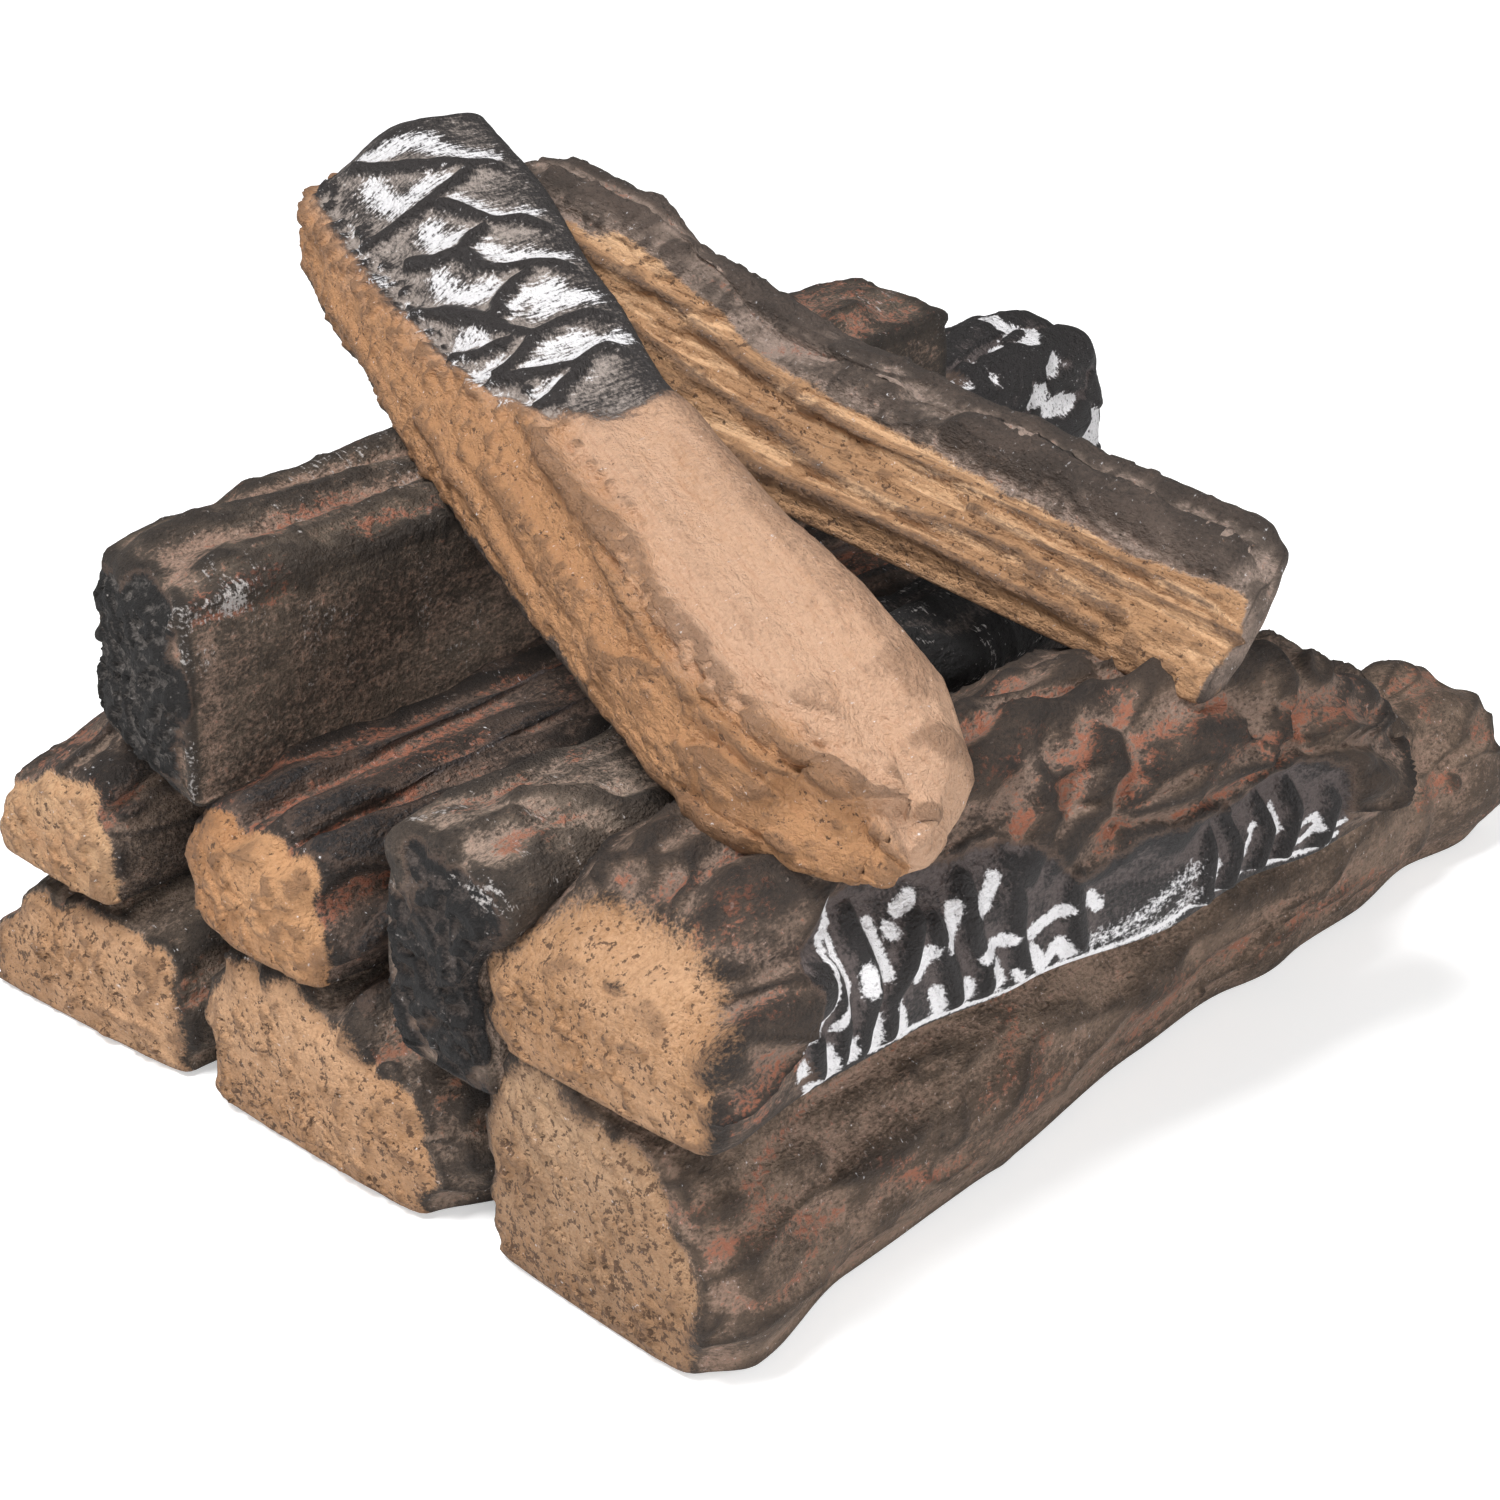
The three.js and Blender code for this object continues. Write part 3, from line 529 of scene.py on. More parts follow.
def sawn_mask(q, log, grid, front=1.0, rear=1.0, ragged=1.6, soft=2.5):
    """1 on the sawn ends and past their rims, by `front` and `rear` millimetres and up to twice
    `ragged` more, with a soft edge. An end whose reach is None stays painted."""
    length = log["size"][0]
    edge = 2 * ragged * patches(q, 9.0, 3, 2.2, 0.2, 0.6)
    mask = np.zeros_like(edge)
    for reach, away in ((front, grid["along"]), (rear, length - grid["along"])):
        if reach is not None:
            mask = np.maximum(mask, smooth((reach + edge - away) / soft + 0.5))
    return mask


def sawn_relief(q, grid, shift, dent=0.9, pit=1.1):
    """Shallow dents of the cast end, and pits where the ceramic crumbled, calmer at the rim."""
    inner = 0.1 + 0.9 * smooth((0.97 - grid["size"]) / 0.15)
    dents = 1 - layers(q, 15, 4, shift)
    gather = 0.3 + 0.7 * patches(q, 14, 2, shift + 7, 0.4, 0.2)
    pits = patches(q, 2.6, 2, shift + 5, 0.55, 0.14)
    holes = patches(q, 4.8, 2, shift + 11, 0.63, 0.08)
    return -inner * (dent * dents + pit * pits * gather + 1.3 * pit * holes
                     + 0.3 * layers(q, 1.6, 1, shift + 9))


inner_point = sawn_relief(np.zeros((1, 3)), {"size": np.array([0.5])}, 1.0)
print("relief at one point of a sawn end, in mm:", np.round(inner_point, 2).tolist())

# %% [markdown]
# ## Bark, the lines in it, and masks
#
# Old bark has lines that flow along the log, broad swells between them, sharp folds and crumbs.
# One noise can't give all of these, so several are added, each with its own size and strength.

# %% Bark, rust along its lines, and masks


def bark_relief(q, shift, crest=3.0, fold=2.2, lump=2.0, run=(110, 20, 20)):
    """Low lines that flow along the log with broad swells between them, raised folds, lumps and
    crumbs, each a noise times its strength in millimetres: the relief, and the lines, 0 to 1."""
    flow = swayed(q, 18, (60, 28, 28), shift)
    crests = creases(flow, run, 2, shift)
    folds = creases(flow, np.array(run) * (0.42, 0.5, 0.5), 6, shift + 4)
    lumps = 1 - layers(q, (34, 15, 15), 3, shift + 8)
    crumbs = layers(q, 3.4, 2, shift + 12)
    coarse = crest * (crests - 1) - fold * folds - lump * lumps
    return coarse - 0.5 * crumbs - 0.2 * layers(q, 1.9, 1, shift + 14), crests


def crest_rust(crests, q, size, shift, strength):
    """Rust along the low lines of the bark, in patches of `size` millimetres."""
    return strength * smooth((crests - 0.7) / 0.2) * patches(q, size, 2, shift + 3, 0.36, 0.2)


def masks_of(grid, **given):
    """All masks of a log: those given, and zero for the others."""
    zero = np.zeros_like(grid["rise"])
    masks = {key: zero for key in ("bare", "char", "ash", "rust", "tint")}
    masks.update(given)
    return masks


SCULPTORS = {}  # the function that shapes and paints each log


def sculptor(*names):
    """Files a function as the one that shapes and paints the logs of these names."""
    def keep(function):
        for name in names:
            SCULPTORS[name] = function
        return function
    return keep


# %% [markdown]
# ### Hearth logs, long log and ridged log
#
# These five are bark all round with sawn ends, and only the long log's far end is burnt. They
# differ in the notches of the rim, in how strong the ridges are and in how far the bare ceramic
# reaches over the rim, so one function shapes them from a row of such facts each.

# %% Facts of the bark logs
# Notches and grooves are (paths, reach, depth), rust lies along paths, and `ends` is how far the
# bare ceramic reaches past the front and rear rims in millimetres. `relief` is given to
# bark_relief, and `split` is the depth of the upright grooves on an end that was split rather than
# sawn.
BARK_LOGS = {
    "hearth_log_left": dict(
        ends=(0.5, 0.5), relief=dict(crest=2.6, fold=2.0),
        cuts=[([[(0.0, 0.80), (0.02, 0.80)]], 5, 2.5),
              ([[(0.0, 0.42), (0.2, 0.40)], [(0.0, 0.58), (0.15, 0.57)]], 5, 1.6)],
        rust=[]),
    "hearth_log_middle": dict(
        ends=(0.0, 0.5), relief=dict(crest=3.0, fold=2.2),
        cuts=[([[(0.0, 0.60), (0.03, 0.57), (0.2, 0.56)], [(0.0, 0.47), (0.02, 0.52), (0.25, 0.50)],
                [(0.0, 0.373), (0.03, 0.388), (0.2, 0.40)]], 7, 4.5)],
        split=0.6,
        rust=[[(0.01, 0.33), (0.06, 0.34)]]),
    "hearth_log_right": dict(
        ends=(0.5, 0.0), relief=dict(crest=3.4, fold=1.8, lump=2.6, run=(120, 24, 24)),
        cuts=[([[(0.02, 0.247), (0.06, 0.237), (0.12, 0.222)],
                [(0.139, 0.190), (0.197, 0.190), (0.25, 0.175)]], 7, 2.2),
              ([[(0.171, 0.135), (0.237, 0.105), (0.317, 0.08)]], 9, 1.6),
              ([[(0.868, 0.343), (0.873, 0.273), (0.877, 0.211), (0.859, 0.151)]], 10, 2.5),
              ([[(0.573, 0.104), (0.576, 0.088)]], 1.6, 1.8),
              ([[(0.914, 0.186), (0.918, 0.184)]], 3.5, 3.0),
              ([[(0.481, 0.17), (0.53, 0.185), (0.60, 0.19), (0.72, 0.18)]], 10, 2.4)],
        rust=[[(0.169, 0.185), (0.216, 0.145), (0.277, 0.124), (0.319, 0.131), (0.363, 0.147)],
              [(0.308, 0.114), (0.318, 0.143), (0.35, 0.191)],
              [(0.275, 0.175), (0.302, 0.182), (0.334, 0.231)],
              [(0.428, 0.071), (0.468, 0.143), (0.506, 0.156), (0.62, 0.129)],
              [(0.107, 0.117), (0.163, 0.101), (0.222, 0.08)],
              [(0.017, 0.201), (0.039, 0.201), (0.093, 0.175)],
              [(0.854, 0.189), (0.889, 0.193), (0.911, 0.189)],
              [(0.941, 0.097), (0.958, 0.118), (0.994, 0.121)], [(0.955, 0.256), (0.985, 0.249)],
              [(0.64, 0.12), (0.74, 0.13), (0.83, 0.12)]]),
    "long_log": dict(
        ends=(2.0, 0.0), relief=dict(crest=1.8, fold=1.2),
        cuts=[([[(0.012, 0.460), (0.021, 0.444), (0.12, 0.431)],
                [(0.016, 0.29), (0.025, 0.285), (0.09, 0.29)],
                [(0.02, 0.212), (0.035, 0.21), (0.11, 0.213)]], 5.0, 4.5),
              ([[(0.0, 0.55), (0.0, 0.62)], [(0.0, 0.8), (0.0, 0.9)]], 7, 1.5)],
        rust=[[(0.02, 0.60), (0.066, 0.621)], [(0.0, 0.50), (0.04, 0.51)]]),
    "ridged_log": dict(
        ends=(1.5, 0.5), relief=dict(crest=1.2, fold=1.0, lump=1.6),
        cuts=[([[(0.0, 0.545), (0.057, 0.527), (0.17, 0.50), (0.5, 0.49), (0.9, 0.50)],
                [(0.01, 0.386), (0.054, 0.392), (0.118, 0.372), (0.5, 0.37), (0.9, 0.37)],
                [(0.012, 0.291), (0.052, 0.275), (0.2, 0.25), (0.6, 0.26)],
                [(0.0, 0.135), (0.06, 0.158), (0.3, 0.16), (0.8, 0.15)],
                [(0.1, 0.61), (0.4, 0.60), (0.9, 0.61)]], 7.5, 5.0)],
        split=3.4,
        rust=[[(0.01, 0.57), (0.069, 0.556), (0.126, 0.537), (0.25, 0.53)],
              [(0.0, 0.46), (0.02, 0.45), (0.05, 0.46), (0.12, 0.45), (0.3, 0.45)],
              [(0.0, 0.335), (0.048, 0.326), (0.1, 0.32)],
              [(0.0, 0.2), (0.045, 0.213), (0.12, 0.21)]]),
}
print("grooves listed:", sum(len(cut[0]) for facts in BARK_LOGS.values() for cut in facts["cuts"]))

# %% The bark logs' shape and masks


@sculptor(*BARK_LOGS)
def bark_log(name, log, grid, q, shift):
    """Bark round the body, sawn ceramic at the ends, and this log's own notches."""
    facts = BARK_LOGS[name]
    bare = sawn_mask(q, log, grid, *facts["ends"])
    skin = smooth(3 * grid["rise"])
    bark, crests = bark_relief(q, shift, **facts["relief"])
    relief = (1 - bare) * skin * bark + bare * sawn_relief(q, grid, shift)
    flow = swayed(q, 8, (24, 11, 11), shift)
    cut = carved(flow, log, facts["cuts"])
    uneven = 0.45 + 0.9 * layers(q, (26, 14, 14), 2, shift + 5)
    at_rim = 0.3 + 0.7 * smooth((grid["along"] - 1) / 9)
    cut = cut * uneven * at_rim * smooth((grid["size"] - 0.9) / 0.1)
    upright = layers(q, (90, 7, 60), 2, shift) * smooth((0.98 - grid["size"]) / 0.1)
    cut = cut + facts.get("split", 0) * bare * upright
    rust = strokes(flow, log, facts["rust"], 7.0)
    rust = np.maximum(rust, crest_rust(crests, q, (24, 12, 12), shift, 0.85))
    char = 0.7 * smooth((cut - 1.5) / 2.5) * (1 - bare)
    ash = np.zeros_like(relief)
    if name == "long_log":  # its far end is burnt to knobs, each dabbed with ash
        burnt = smooth((grid["share"] - 0.8 + 0.1 * (layers(q, 14, 2, 1.0) - 0.5)) / 0.05)
        knobs = patches(q, (9, 7, 7), 2, 6.0, 0.47, 0.2)
        relief = relief - 2.2 * burnt * skin * (1 - knobs)
        char = np.maximum(char, burnt)
        ash = burnt * smooth((knobs - 0.5) / 0.4) * (grid["sawn"] < 0.5)
        bare = bare * (grid["share"] < 0.5)
    tint = layers(q, 26, 2, shift) * 1.1 - 0.1
    return relief - cut, masks_of(grid, bare=bare, rust=rust * skin, char=char, ash=ash, tint=tint)


# %% [markdown]
# ### The two square-cut logs
#
# The upper block and the black block are cast from sawn timber: flat smooth sides with a wavy top
# of bark, and black ends that look like crumbled coal. Their edges are rubbed pale.

# %% Facts of the block logs
# As for the bark logs, and `pale` lists the rubbed edges. An end that is None stays painted.
BLOCK_LOGS = {
    "upper_block_log": dict(
        cuts=[([[(0.03, 0.49), (0.124, 0.482), (0.172, 0.473), (0.235, 0.478), (0.33, 0.45)],
                [(0.06, 0.385), (0.116, 0.373), (0.161, 0.381), (0.21, 0.395), (0.273, 0.398),
                 (0.35, 0.385)],
                [(0.16, 0.545), (0.256, 0.535), (0.33, 0.545)],
                [(0.4, 0.42), (0.55, 0.40), (0.7, 0.43), (0.9, 0.41)],
                [(0.45, 0.53), (0.65, 0.52), (0.85, 0.54)]], 11, 4.6),
              ([[(0.25, 0.345), (0.262, 0.28)], [(0.272, 0.33), (0.276, 0.27)],
                [(0.288, 0.33), (0.292, 0.26)]], 3, 1.0)],
        rust=[[(0.109, 0.589), (0.14, 0.57)], [(0.14, 0.575), (0.2, 0.575), (0.24, 0.57)],
              [(0.26, 0.575), (0.31, 0.57)],
              [(0.123, 0.416), (0.144, 0.421)], [(0.158, 0.43), (0.178, 0.426)],
              [(0.196, 0.345), (0.25, 0.352), (0.291, 0.335)],
              [(0.033, 0.295), (0.077, 0.300), (0.107, 0.308)],
              [(0.175, 0.441), (0.233, 0.431)], [(0.02, 0.32), (0.05, 0.325)],
              [(0.5, 0.47), (0.7, 0.46)]],
        pale=[[(0.0, 0.368), (0.006, 0.268)], [(0.0, 0.246), (0.0, 0.204)],
              [(0.01, 0.302), (0.06, 0.300)], [(0.0, 0.16), (0.0, 0.08)]], ends=(-1.0, None)),
    "black_block_log": dict(
        cuts=[([[(0.10, 0.488), (0.145, 0.434), (0.17, 0.375), (0.22, 0.345), (0.35, 0.35)],
                [(0.0, 0.48), (0.04, 0.475), (0.075, 0.455)],
                [(0.3, 0.47), (0.5, 0.46), (0.8, 0.47)]], 8, 2.8),
              ([[(0.0, 0.505), (0.0, 0.535)], [(0.0, 0.51), (0.025, 0.50)]], 2.5, 2.2),
              ([[(0.564, 0.402), (0.609, 0.397), (0.641, 0.363), (0.717, 0.296)]], 7, 2.0)],
        rust=[[(0.055, 0.533), (0.106, 0.513), (0.13, 0.52)], [(0.20, 0.548), (0.235, 0.558)],
              [(0.09, 0.427), (0.12, 0.415)], [(0.05, 0.40), (0.08, 0.39)]],
        pale=[[(0.0, 0.444), (0.0, 0.376), (0.03, 0.295)], [(0.017, 0.561), (0.055, 0.533)],
              [(0.085, 0.435), (0.11, 0.425)],
              [(0.045, 0.269), (0.139, 0.272), (0.231, 0.270)]], ends=(-1.0, -1.0)),
}
print("rubbed edges listed:", {name: len(facts["pale"]) for name, facts in BLOCK_LOGS.items()})

# %% The block logs' shape and masks


@sculptor(*BLOCK_LOGS)
def block_log(name, log, grid, q, shift):
    """Smooth sides, a wavy top with rust along its lines, coal-like ends and rubbed edges."""
    facts = BLOCK_LOGS[name]
    ends = sawn_mask(q, log, grid, *facts["ends"], ragged=1.5, soft=2.0)
    turn = grid["turn"]
    top = smooth((turn - 0.27) / 0.05) * smooth((0.63 - turn) / 0.04)
    waves, _ = bark_relief(q, shift, crest=2.4, fold=1.0, lump=4.0, run=(45, 22, 22))
    planed = -0.5 * (1 - layers(q, (26, 12, 12), 3, shift)) - 0.15 * layers(q, 2.5, 2, shift + 3)
    coal = 0.5 * (1 - creases(q, 4.2, 1.2, shift + 6))
    coal = coal + 0.5 * patches(q, 2.8, 2, shift + 5, 0.4, 0.2)
    inner = 0.25 + 0.75 * smooth((0.95 - grid["size"]) / 0.15)
    crumbled = 3.4 * (1 - coal) + 1.2 * (1 - layers(q, 14, 2, shift))
    relief = (1 - ends) * (top * waves + (1 - top) * planed) - ends * inner * crumbled
    flow = swayed(q, 6, (16, 9, 9), shift)
    cut = carved(flow, log, facts["cuts"])
    rust = strokes(flow, log, facts["rust"], 6.5)
    if name == "upper_block_log":
        rust = np.maximum(rust, 0.75 * top * smooth((grid["share"] - 0.8) / 0.06))  # its rear top
    pale = 0.5 * strokes(flow, log, facts["pale"], 3.5)
    pale = pale + 0.32 * patches(q, (9, 9, 14), 3, 8.0, 0.58, 0.1) * (1 - ends)
    burnt = ends
    if name == "black_block_log":  # charred from its middle to the rear, with ash brushed on
        ragged = 0.15 * (layers(q, 20, 2, 1.0) - 0.5)
        burnt = np.maximum(ends, smooth((grid["share"] - 0.4 + ragged) / 0.1))
        brushed = patches(q, (5, 1.6, 1.6), 2, 9.0, 0.55, 0.15) * patches(q, 14, 2, 4.0, 0.45, 0.15)
        pale = np.maximum(pale, 0.45 * brushed * smooth((grid["share"] - 0.5) / 0.1) * (1 - ends))
    return relief - cut * (1 - 0.5 * ends), masks_of(grid, rust=rust, char=burnt, ash=pale)


# %% [markdown]
# ### The ash-streaked log
#
# This log curves down to the rear. Above, its bark flows in deep folds. A band along the outer
# side is charred, crossed by grooves and by ribs like those of a shell, and the painter dabbed
# white ash on each bump and drew a thin line along the lower edge.

# %% Paths of the ash-streaked log
# The upper edge of the char, its grooves and ribs, the ash (thin lines, the line along the lower
# edge, dabs, and a thin wash), the folds of the bark above, and the rust brushed on them.
CHAR_TOP = np.array([
    (0.10, 0.15), (0.15, 0.24), (0.195, 0.285), (0.264, 0.29), (0.33, 0.264), (0.41, 0.255),
    (0.429, 0.227), (0.481, 0.19), (0.542, 0.20), (0.615, 0.204), (0.675, 0.195), (0.716, 0.195),
    (0.75, 0.206), (0.783, 0.217), (0.811, 0.209), (0.834, 0.187), (0.86, 0.12)
])
CHAR_GROOVES = [
    [(0.213, 0.261), (0.212, 0.217), (0.213, 0.158), (0.201, 0.12), (0.195, 0.07)],
    [(0.284, 0.21), (0.262, 0.169), (0.238, 0.143), (0.236, 0.07)],
    [(0.302, 0.2), (0.319, 0.134), (0.326, 0.088), (0.324, 0.053)],
    [(0.348, 0.24), (0.345, 0.173), (0.363, 0.122), (0.36, 0.06)],
    [(0.408, 0.24), (0.4, 0.154), (0.406, 0.102), (0.402, 0.05)],
    [(0.473, 0.196), (0.479, 0.138), (0.486, 0.05)], [(0.165, 0.2), (0.172, 0.13), (0.165, 0.07)],
    [(0.136, 0.13), (0.14, 0.08)],
]
CHAR_RIBS = [
    [(0.640, 0.205), (0.643, 0.167), (0.639, 0.08)],
    [(0.674, 0.19), (0.688, 0.147), (0.679, 0.09)], [(0.728, 0.19), (0.745, 0.146), (0.735, 0.09)],
    [(0.772, 0.21), (0.783, 0.162), (0.772, 0.095)],
    [(0.823, 0.200), (0.832, 0.161), (0.820, 0.09)],
]
ASH_LINES = [
    [(0.193, 0.286), (0.191, 0.262), (0.175, 0.243), (0.17, 0.207), (0.16, 0.173), (0.147, 0.151),
     (0.126, 0.144), (0.104, 0.141)],
    [(0.186, 0.242), (0.182, 0.211), (0.185, 0.176), (0.177, 0.16), (0.159, 0.141)],
    [(0.656, 0.159), (0.667, 0.128), (0.657, 0.084)],
    [(0.725, 0.154), (0.716, 0.115), (0.692, 0.096)],
    [(0.755, 0.172), (0.763, 0.139), (0.746, 0.103)],
    [(0.79, 0.13), (0.812, 0.143), (0.815, 0.121), (0.799, 0.102), (0.785, 0.092)],
    [(0.824, 0.089), (0.861, 0.105)], [(0.395, 0.102), (0.402, 0.085)],
]
LOWER_LINE = [
    (0.216, 0.064), (0.253, 0.060), (0.3, 0.060), (0.354, 0.057), (0.408, 0.050), (0.45, 0.045),
    (0.5, 0.046), (0.56, 0.055), (0.61, 0.07), (0.633, 0.079), (0.689, 0.078), (0.759, 0.067),
    (0.815, 0.065), (0.86, 0.072)
]
ASH_DABS = [
    [(0.234, 0.233), (0.231, 0.204), (0.235, 0.172)], [(0.217, 0.121), (0.219, 0.078)],
    [(0.272, 0.233), (0.294, 0.242)], [(0.33, 0.21), (0.317, 0.176)],
    [(0.294, 0.17), (0.281, 0.142)], [(0.247, 0.133), (0.257, 0.102), (0.263, 0.065)],
    [(0.303, 0.109), (0.309, 0.075)], [(0.341, 0.105), (0.34, 0.085)],
    [(0.384, 0.228), (0.359, 0.202)], [(0.391, 0.148), (0.359, 0.14)],
    [(0.372, 0.118), (0.38, 0.083)], [(0.466, 0.155), (0.426, 0.137)],
    [(0.426, 0.113), (0.442, 0.072), (0.461, 0.104), (0.472, 0.076)],
    [(0.495, 0.162), (0.504, 0.146)], [(0.207, 0.183), (0.206, 0.166)],
    [(0.254, 0.217), (0.256, 0.212)], [(0.152, 0.111), (0.157, 0.073)],
    [(0.181, 0.111), (0.182, 0.083)], [(0.114, 0.117), (0.116, 0.106)],
    [(0.132, 0.076), (0.136, 0.06)],
]
ASH_WASH = [
    [(0.621, 0.142), (0.582, 0.124), (0.557, 0.104), (0.531, 0.085), (0.501, 0.087)],
    [(0.621, 0.107), (0.596, 0.065), (0.557, 0.06)],
]
FOLDS = [
    [(0.473, 0.291), (0.464, 0.255), (0.42, 0.231)],
    [(0.55, 0.316), (0.527, 0.28), (0.522, 0.252), (0.477, 0.234), (0.45, 0.226)],
    [(0.701, 0.270), (0.648, 0.275), (0.588, 0.275), (0.558, 0.262), (0.544, 0.251)],
    [(0.537, 0.209), (0.595, 0.202), (0.633, 0.207)],
    [(0.55, 0.245), (0.611, 0.253), (0.669, 0.252), (0.732, 0.253), (0.767, 0.263)],
    [(0.806, 0.256), (0.847, 0.265), (0.892, 0.261)],
    [(0.727, 0.219), (0.762, 0.226), (0.824, 0.21), (0.868, 0.18), (0.93, 0.15)],
    [(0.02, 0.215), (0.08, 0.205), (0.15, 0.19)], [(0.3, 0.42), (0.45, 0.40), (0.6, 0.42)],
    [(0.35, 0.34), (0.5, 0.36), (0.65, 0.35), (0.8, 0.34)],
]
BRUSHED_RUST = [
    [(0.553, 0.263), (0.563, 0.288), (0.597, 0.298), (0.662, 0.29), (0.701, 0.288)],
    [(0.686, 0.225), (0.718, 0.225)],
    [(0.758, 0.26), (0.777, 0.278), (0.826, 0.289), (0.886, 0.299)],
    [(0.481, 0.292), (0.507, 0.31), (0.548, 0.325)],
    [(0.612, 0.219), (0.653, 0.22), (0.683, 0.214)], [(0.73, 0.242), (0.77, 0.225)],
    [(0.057, 0.229), (0.106, 0.205)], [(0.06, 0.36), (0.13, 0.33)],
    [(0.016, 0.147), (0.054, 0.153), (0.109, 0.137)], [(0.43, 0.27), (0.45, 0.28)],
    [(0.02, 0.11), (0.08, 0.10)],
]
print("ash marks:", len(ASH_LINES) + len(ASH_DABS) + len(ASH_WASH) + 1, "folds:", len(FOLDS))

# %% The ash-streaked log's shape and masks
FRONT_SHOULDER = [(0.0, 0.54), (0.02, 0.5), (0.035, 0.44), (0.035, 0.38), (0.02, 0.32), (0.0, 0.28)]


@sculptor("ash_streaked_log")
def ash_streaked_log(name, log, grid, q, shift):
    """Folds above, and below them the charred band with its grooves, ribs and white ash."""
    share, turn = grid["share"], grid["turn"]
    edge = np.interp(share, *CHAR_TOP.T)
    rough_edge = edge + 0.03 * (layers(q, 8, 2, 5.0) - 0.5)
    from_front = share - 0.09 - 0.05 * layers(q, (6, 6, 6), 2, 7.0)
    along = smooth(from_front / 0.03) * smooth((0.88 - share) / 0.03)
    char = along * smooth((rough_edge - turn) / 0.03 + 0.6) * (turn < 0.6)
    shoulder = 1.15 * strokes(q, log, [FRONT_SHOULDER], 17.0)
    bare = np.maximum(sawn_mask(q, log, grid, 0.5, 0.0), shoulder)
    skin = smooth(3 * grid["rise"])
    bark, crests = bark_relief(q, shift, crest=3.2, fold=3.0, lump=2.2, run=(80, 18, 18))
    smooth_char = -1.2 * (1 - layers(q, (12, 9, 9), 2, shift + 2))
    relief = (1 - bare) * skin * (bark * (1 - char) + smooth_char * char)
    relief = relief + bare * sawn_relief(q, grid, shift)
    above_rim = smooth((turn - 0.05) / 0.05)
    grooves = strokes(q, log, CHAR_GROOVES, 5.0) * above_rim
    ribs = strokes(q, log, CHAR_RIBS, 4.0) * above_rim
    flow = swayed(q, 6, (18, 9, 9), shift)
    folds = strokes(flow, log, FOLDS, 8.0)
    step = near(q, on_log(log, CHAR_TOP[2:-1]), 4.5)
    cut = np.maximum.reduce([3.6 * grooves, 4.2 * ribs, 6.2 * folds, 2.2 * step * (share > 0.4)])
    wavy = swayed(q, 1.6, 4.0, shift)
    dabs = strokes(wavy, log, ASH_DABS, 3.7)
    lines = np.maximum(strokes(wavy, log, ASH_LINES, 2.2), strokes(q, log, [LOWER_LINE], 1.7))
    wash = 0.66 * strokes(wavy, log, ASH_WASH, 7.0)
    ash = np.clip(np.maximum.reduce([1.4 * dabs, 1.2 * lines, wash]), 0, 1)
    rust = strokes(flow, log, BRUSHED_RUST, 7.0)
    rust = np.maximum(rust, crest_rust(crests, q, (20, 10, 10), shift, 0.8)) * (1 - char)
    return relief - cut, masks_of(grid, bare=bare, rust=rust * skin, char=char, ash=ash,
                                  tint=layers(q, 26, 2, shift))


# %% [markdown]
# ### The big split log
#
# It is split from a trunk: a smooth pinkish face above, a rough orange face on its left, and
# between them an edge from which chips ran off in steps towards the axe-cut nose. The upper third
# is charred into plates between branching grooves, and each plate is brushed white.

# %% Paths of the charred split log
# The edge between the two faces, how far the char comes down at each turn, the grooves between its
# plates, the ash on the plates and along the edge, the chips' steps and small flakes.
SPLIT_EDGE = np.array([
    (0.02, 0.60), (0.061, 0.645), (0.119, 0.687), (0.178, 0.701), (0.27, 0.664), (0.327, 0.637),
    (0.392, 0.643), (0.498, 0.640), (0.575, 0.695), (0.686, 0.738), (0.795, 0.755), (0.95, 0.764)
])
BURNT_TO = np.array([
    (0.0, 0.47), (0.439, 0.462), (0.508, 0.456), (0.562, 0.461), (0.619, 0.492), (0.679, 0.531),
    (0.703, 0.57), (0.76, 0.6)
])
PLATE_GROOVES = [
    [(0.95, 0.675), (0.911, 0.627), (0.878, 0.578), (0.854, 0.517), (0.848, 0.453)],
    [(0.849, 0.521), (0.837, 0.555), (0.826, 0.596), (0.824, 0.631), (0.83, 0.676),
     (0.838, 0.741)],
    [(0.813, 0.594), (0.783, 0.569), (0.759, 0.536), (0.75, 0.493), (0.734, 0.455)],
    [(0.755, 0.563), (0.75, 0.588), (0.737, 0.61), (0.704, 0.594), (0.688, 0.559), (0.681, 0.516),
     (0.665, 0.47)],
    [(0.737, 0.61), (0.747, 0.644), (0.774, 0.687)],
    [(0.672, 0.529), (0.667, 0.566), (0.649, 0.604), (0.635, 0.614)],
    [(0.707, 0.715), (0.671, 0.661), (0.642, 0.635), (0.608, 0.617), (0.587, 0.588),
     (0.591, 0.538), (0.589, 0.49), (0.583, 0.445)],
    [(0.624, 0.705), (0.605, 0.66), (0.595, 0.623)],
    [(0.584, 0.588), (0.57, 0.618), (0.567, 0.646), (0.569, 0.69)],
    [(0.553, 0.645), (0.534, 0.595), (0.529, 0.549), (0.538, 0.503), (0.539, 0.468),
     (0.529, 0.435)],
    [(0.526, 0.534), (0.511, 0.582), (0.501, 0.61), (0.504, 0.634)],
]
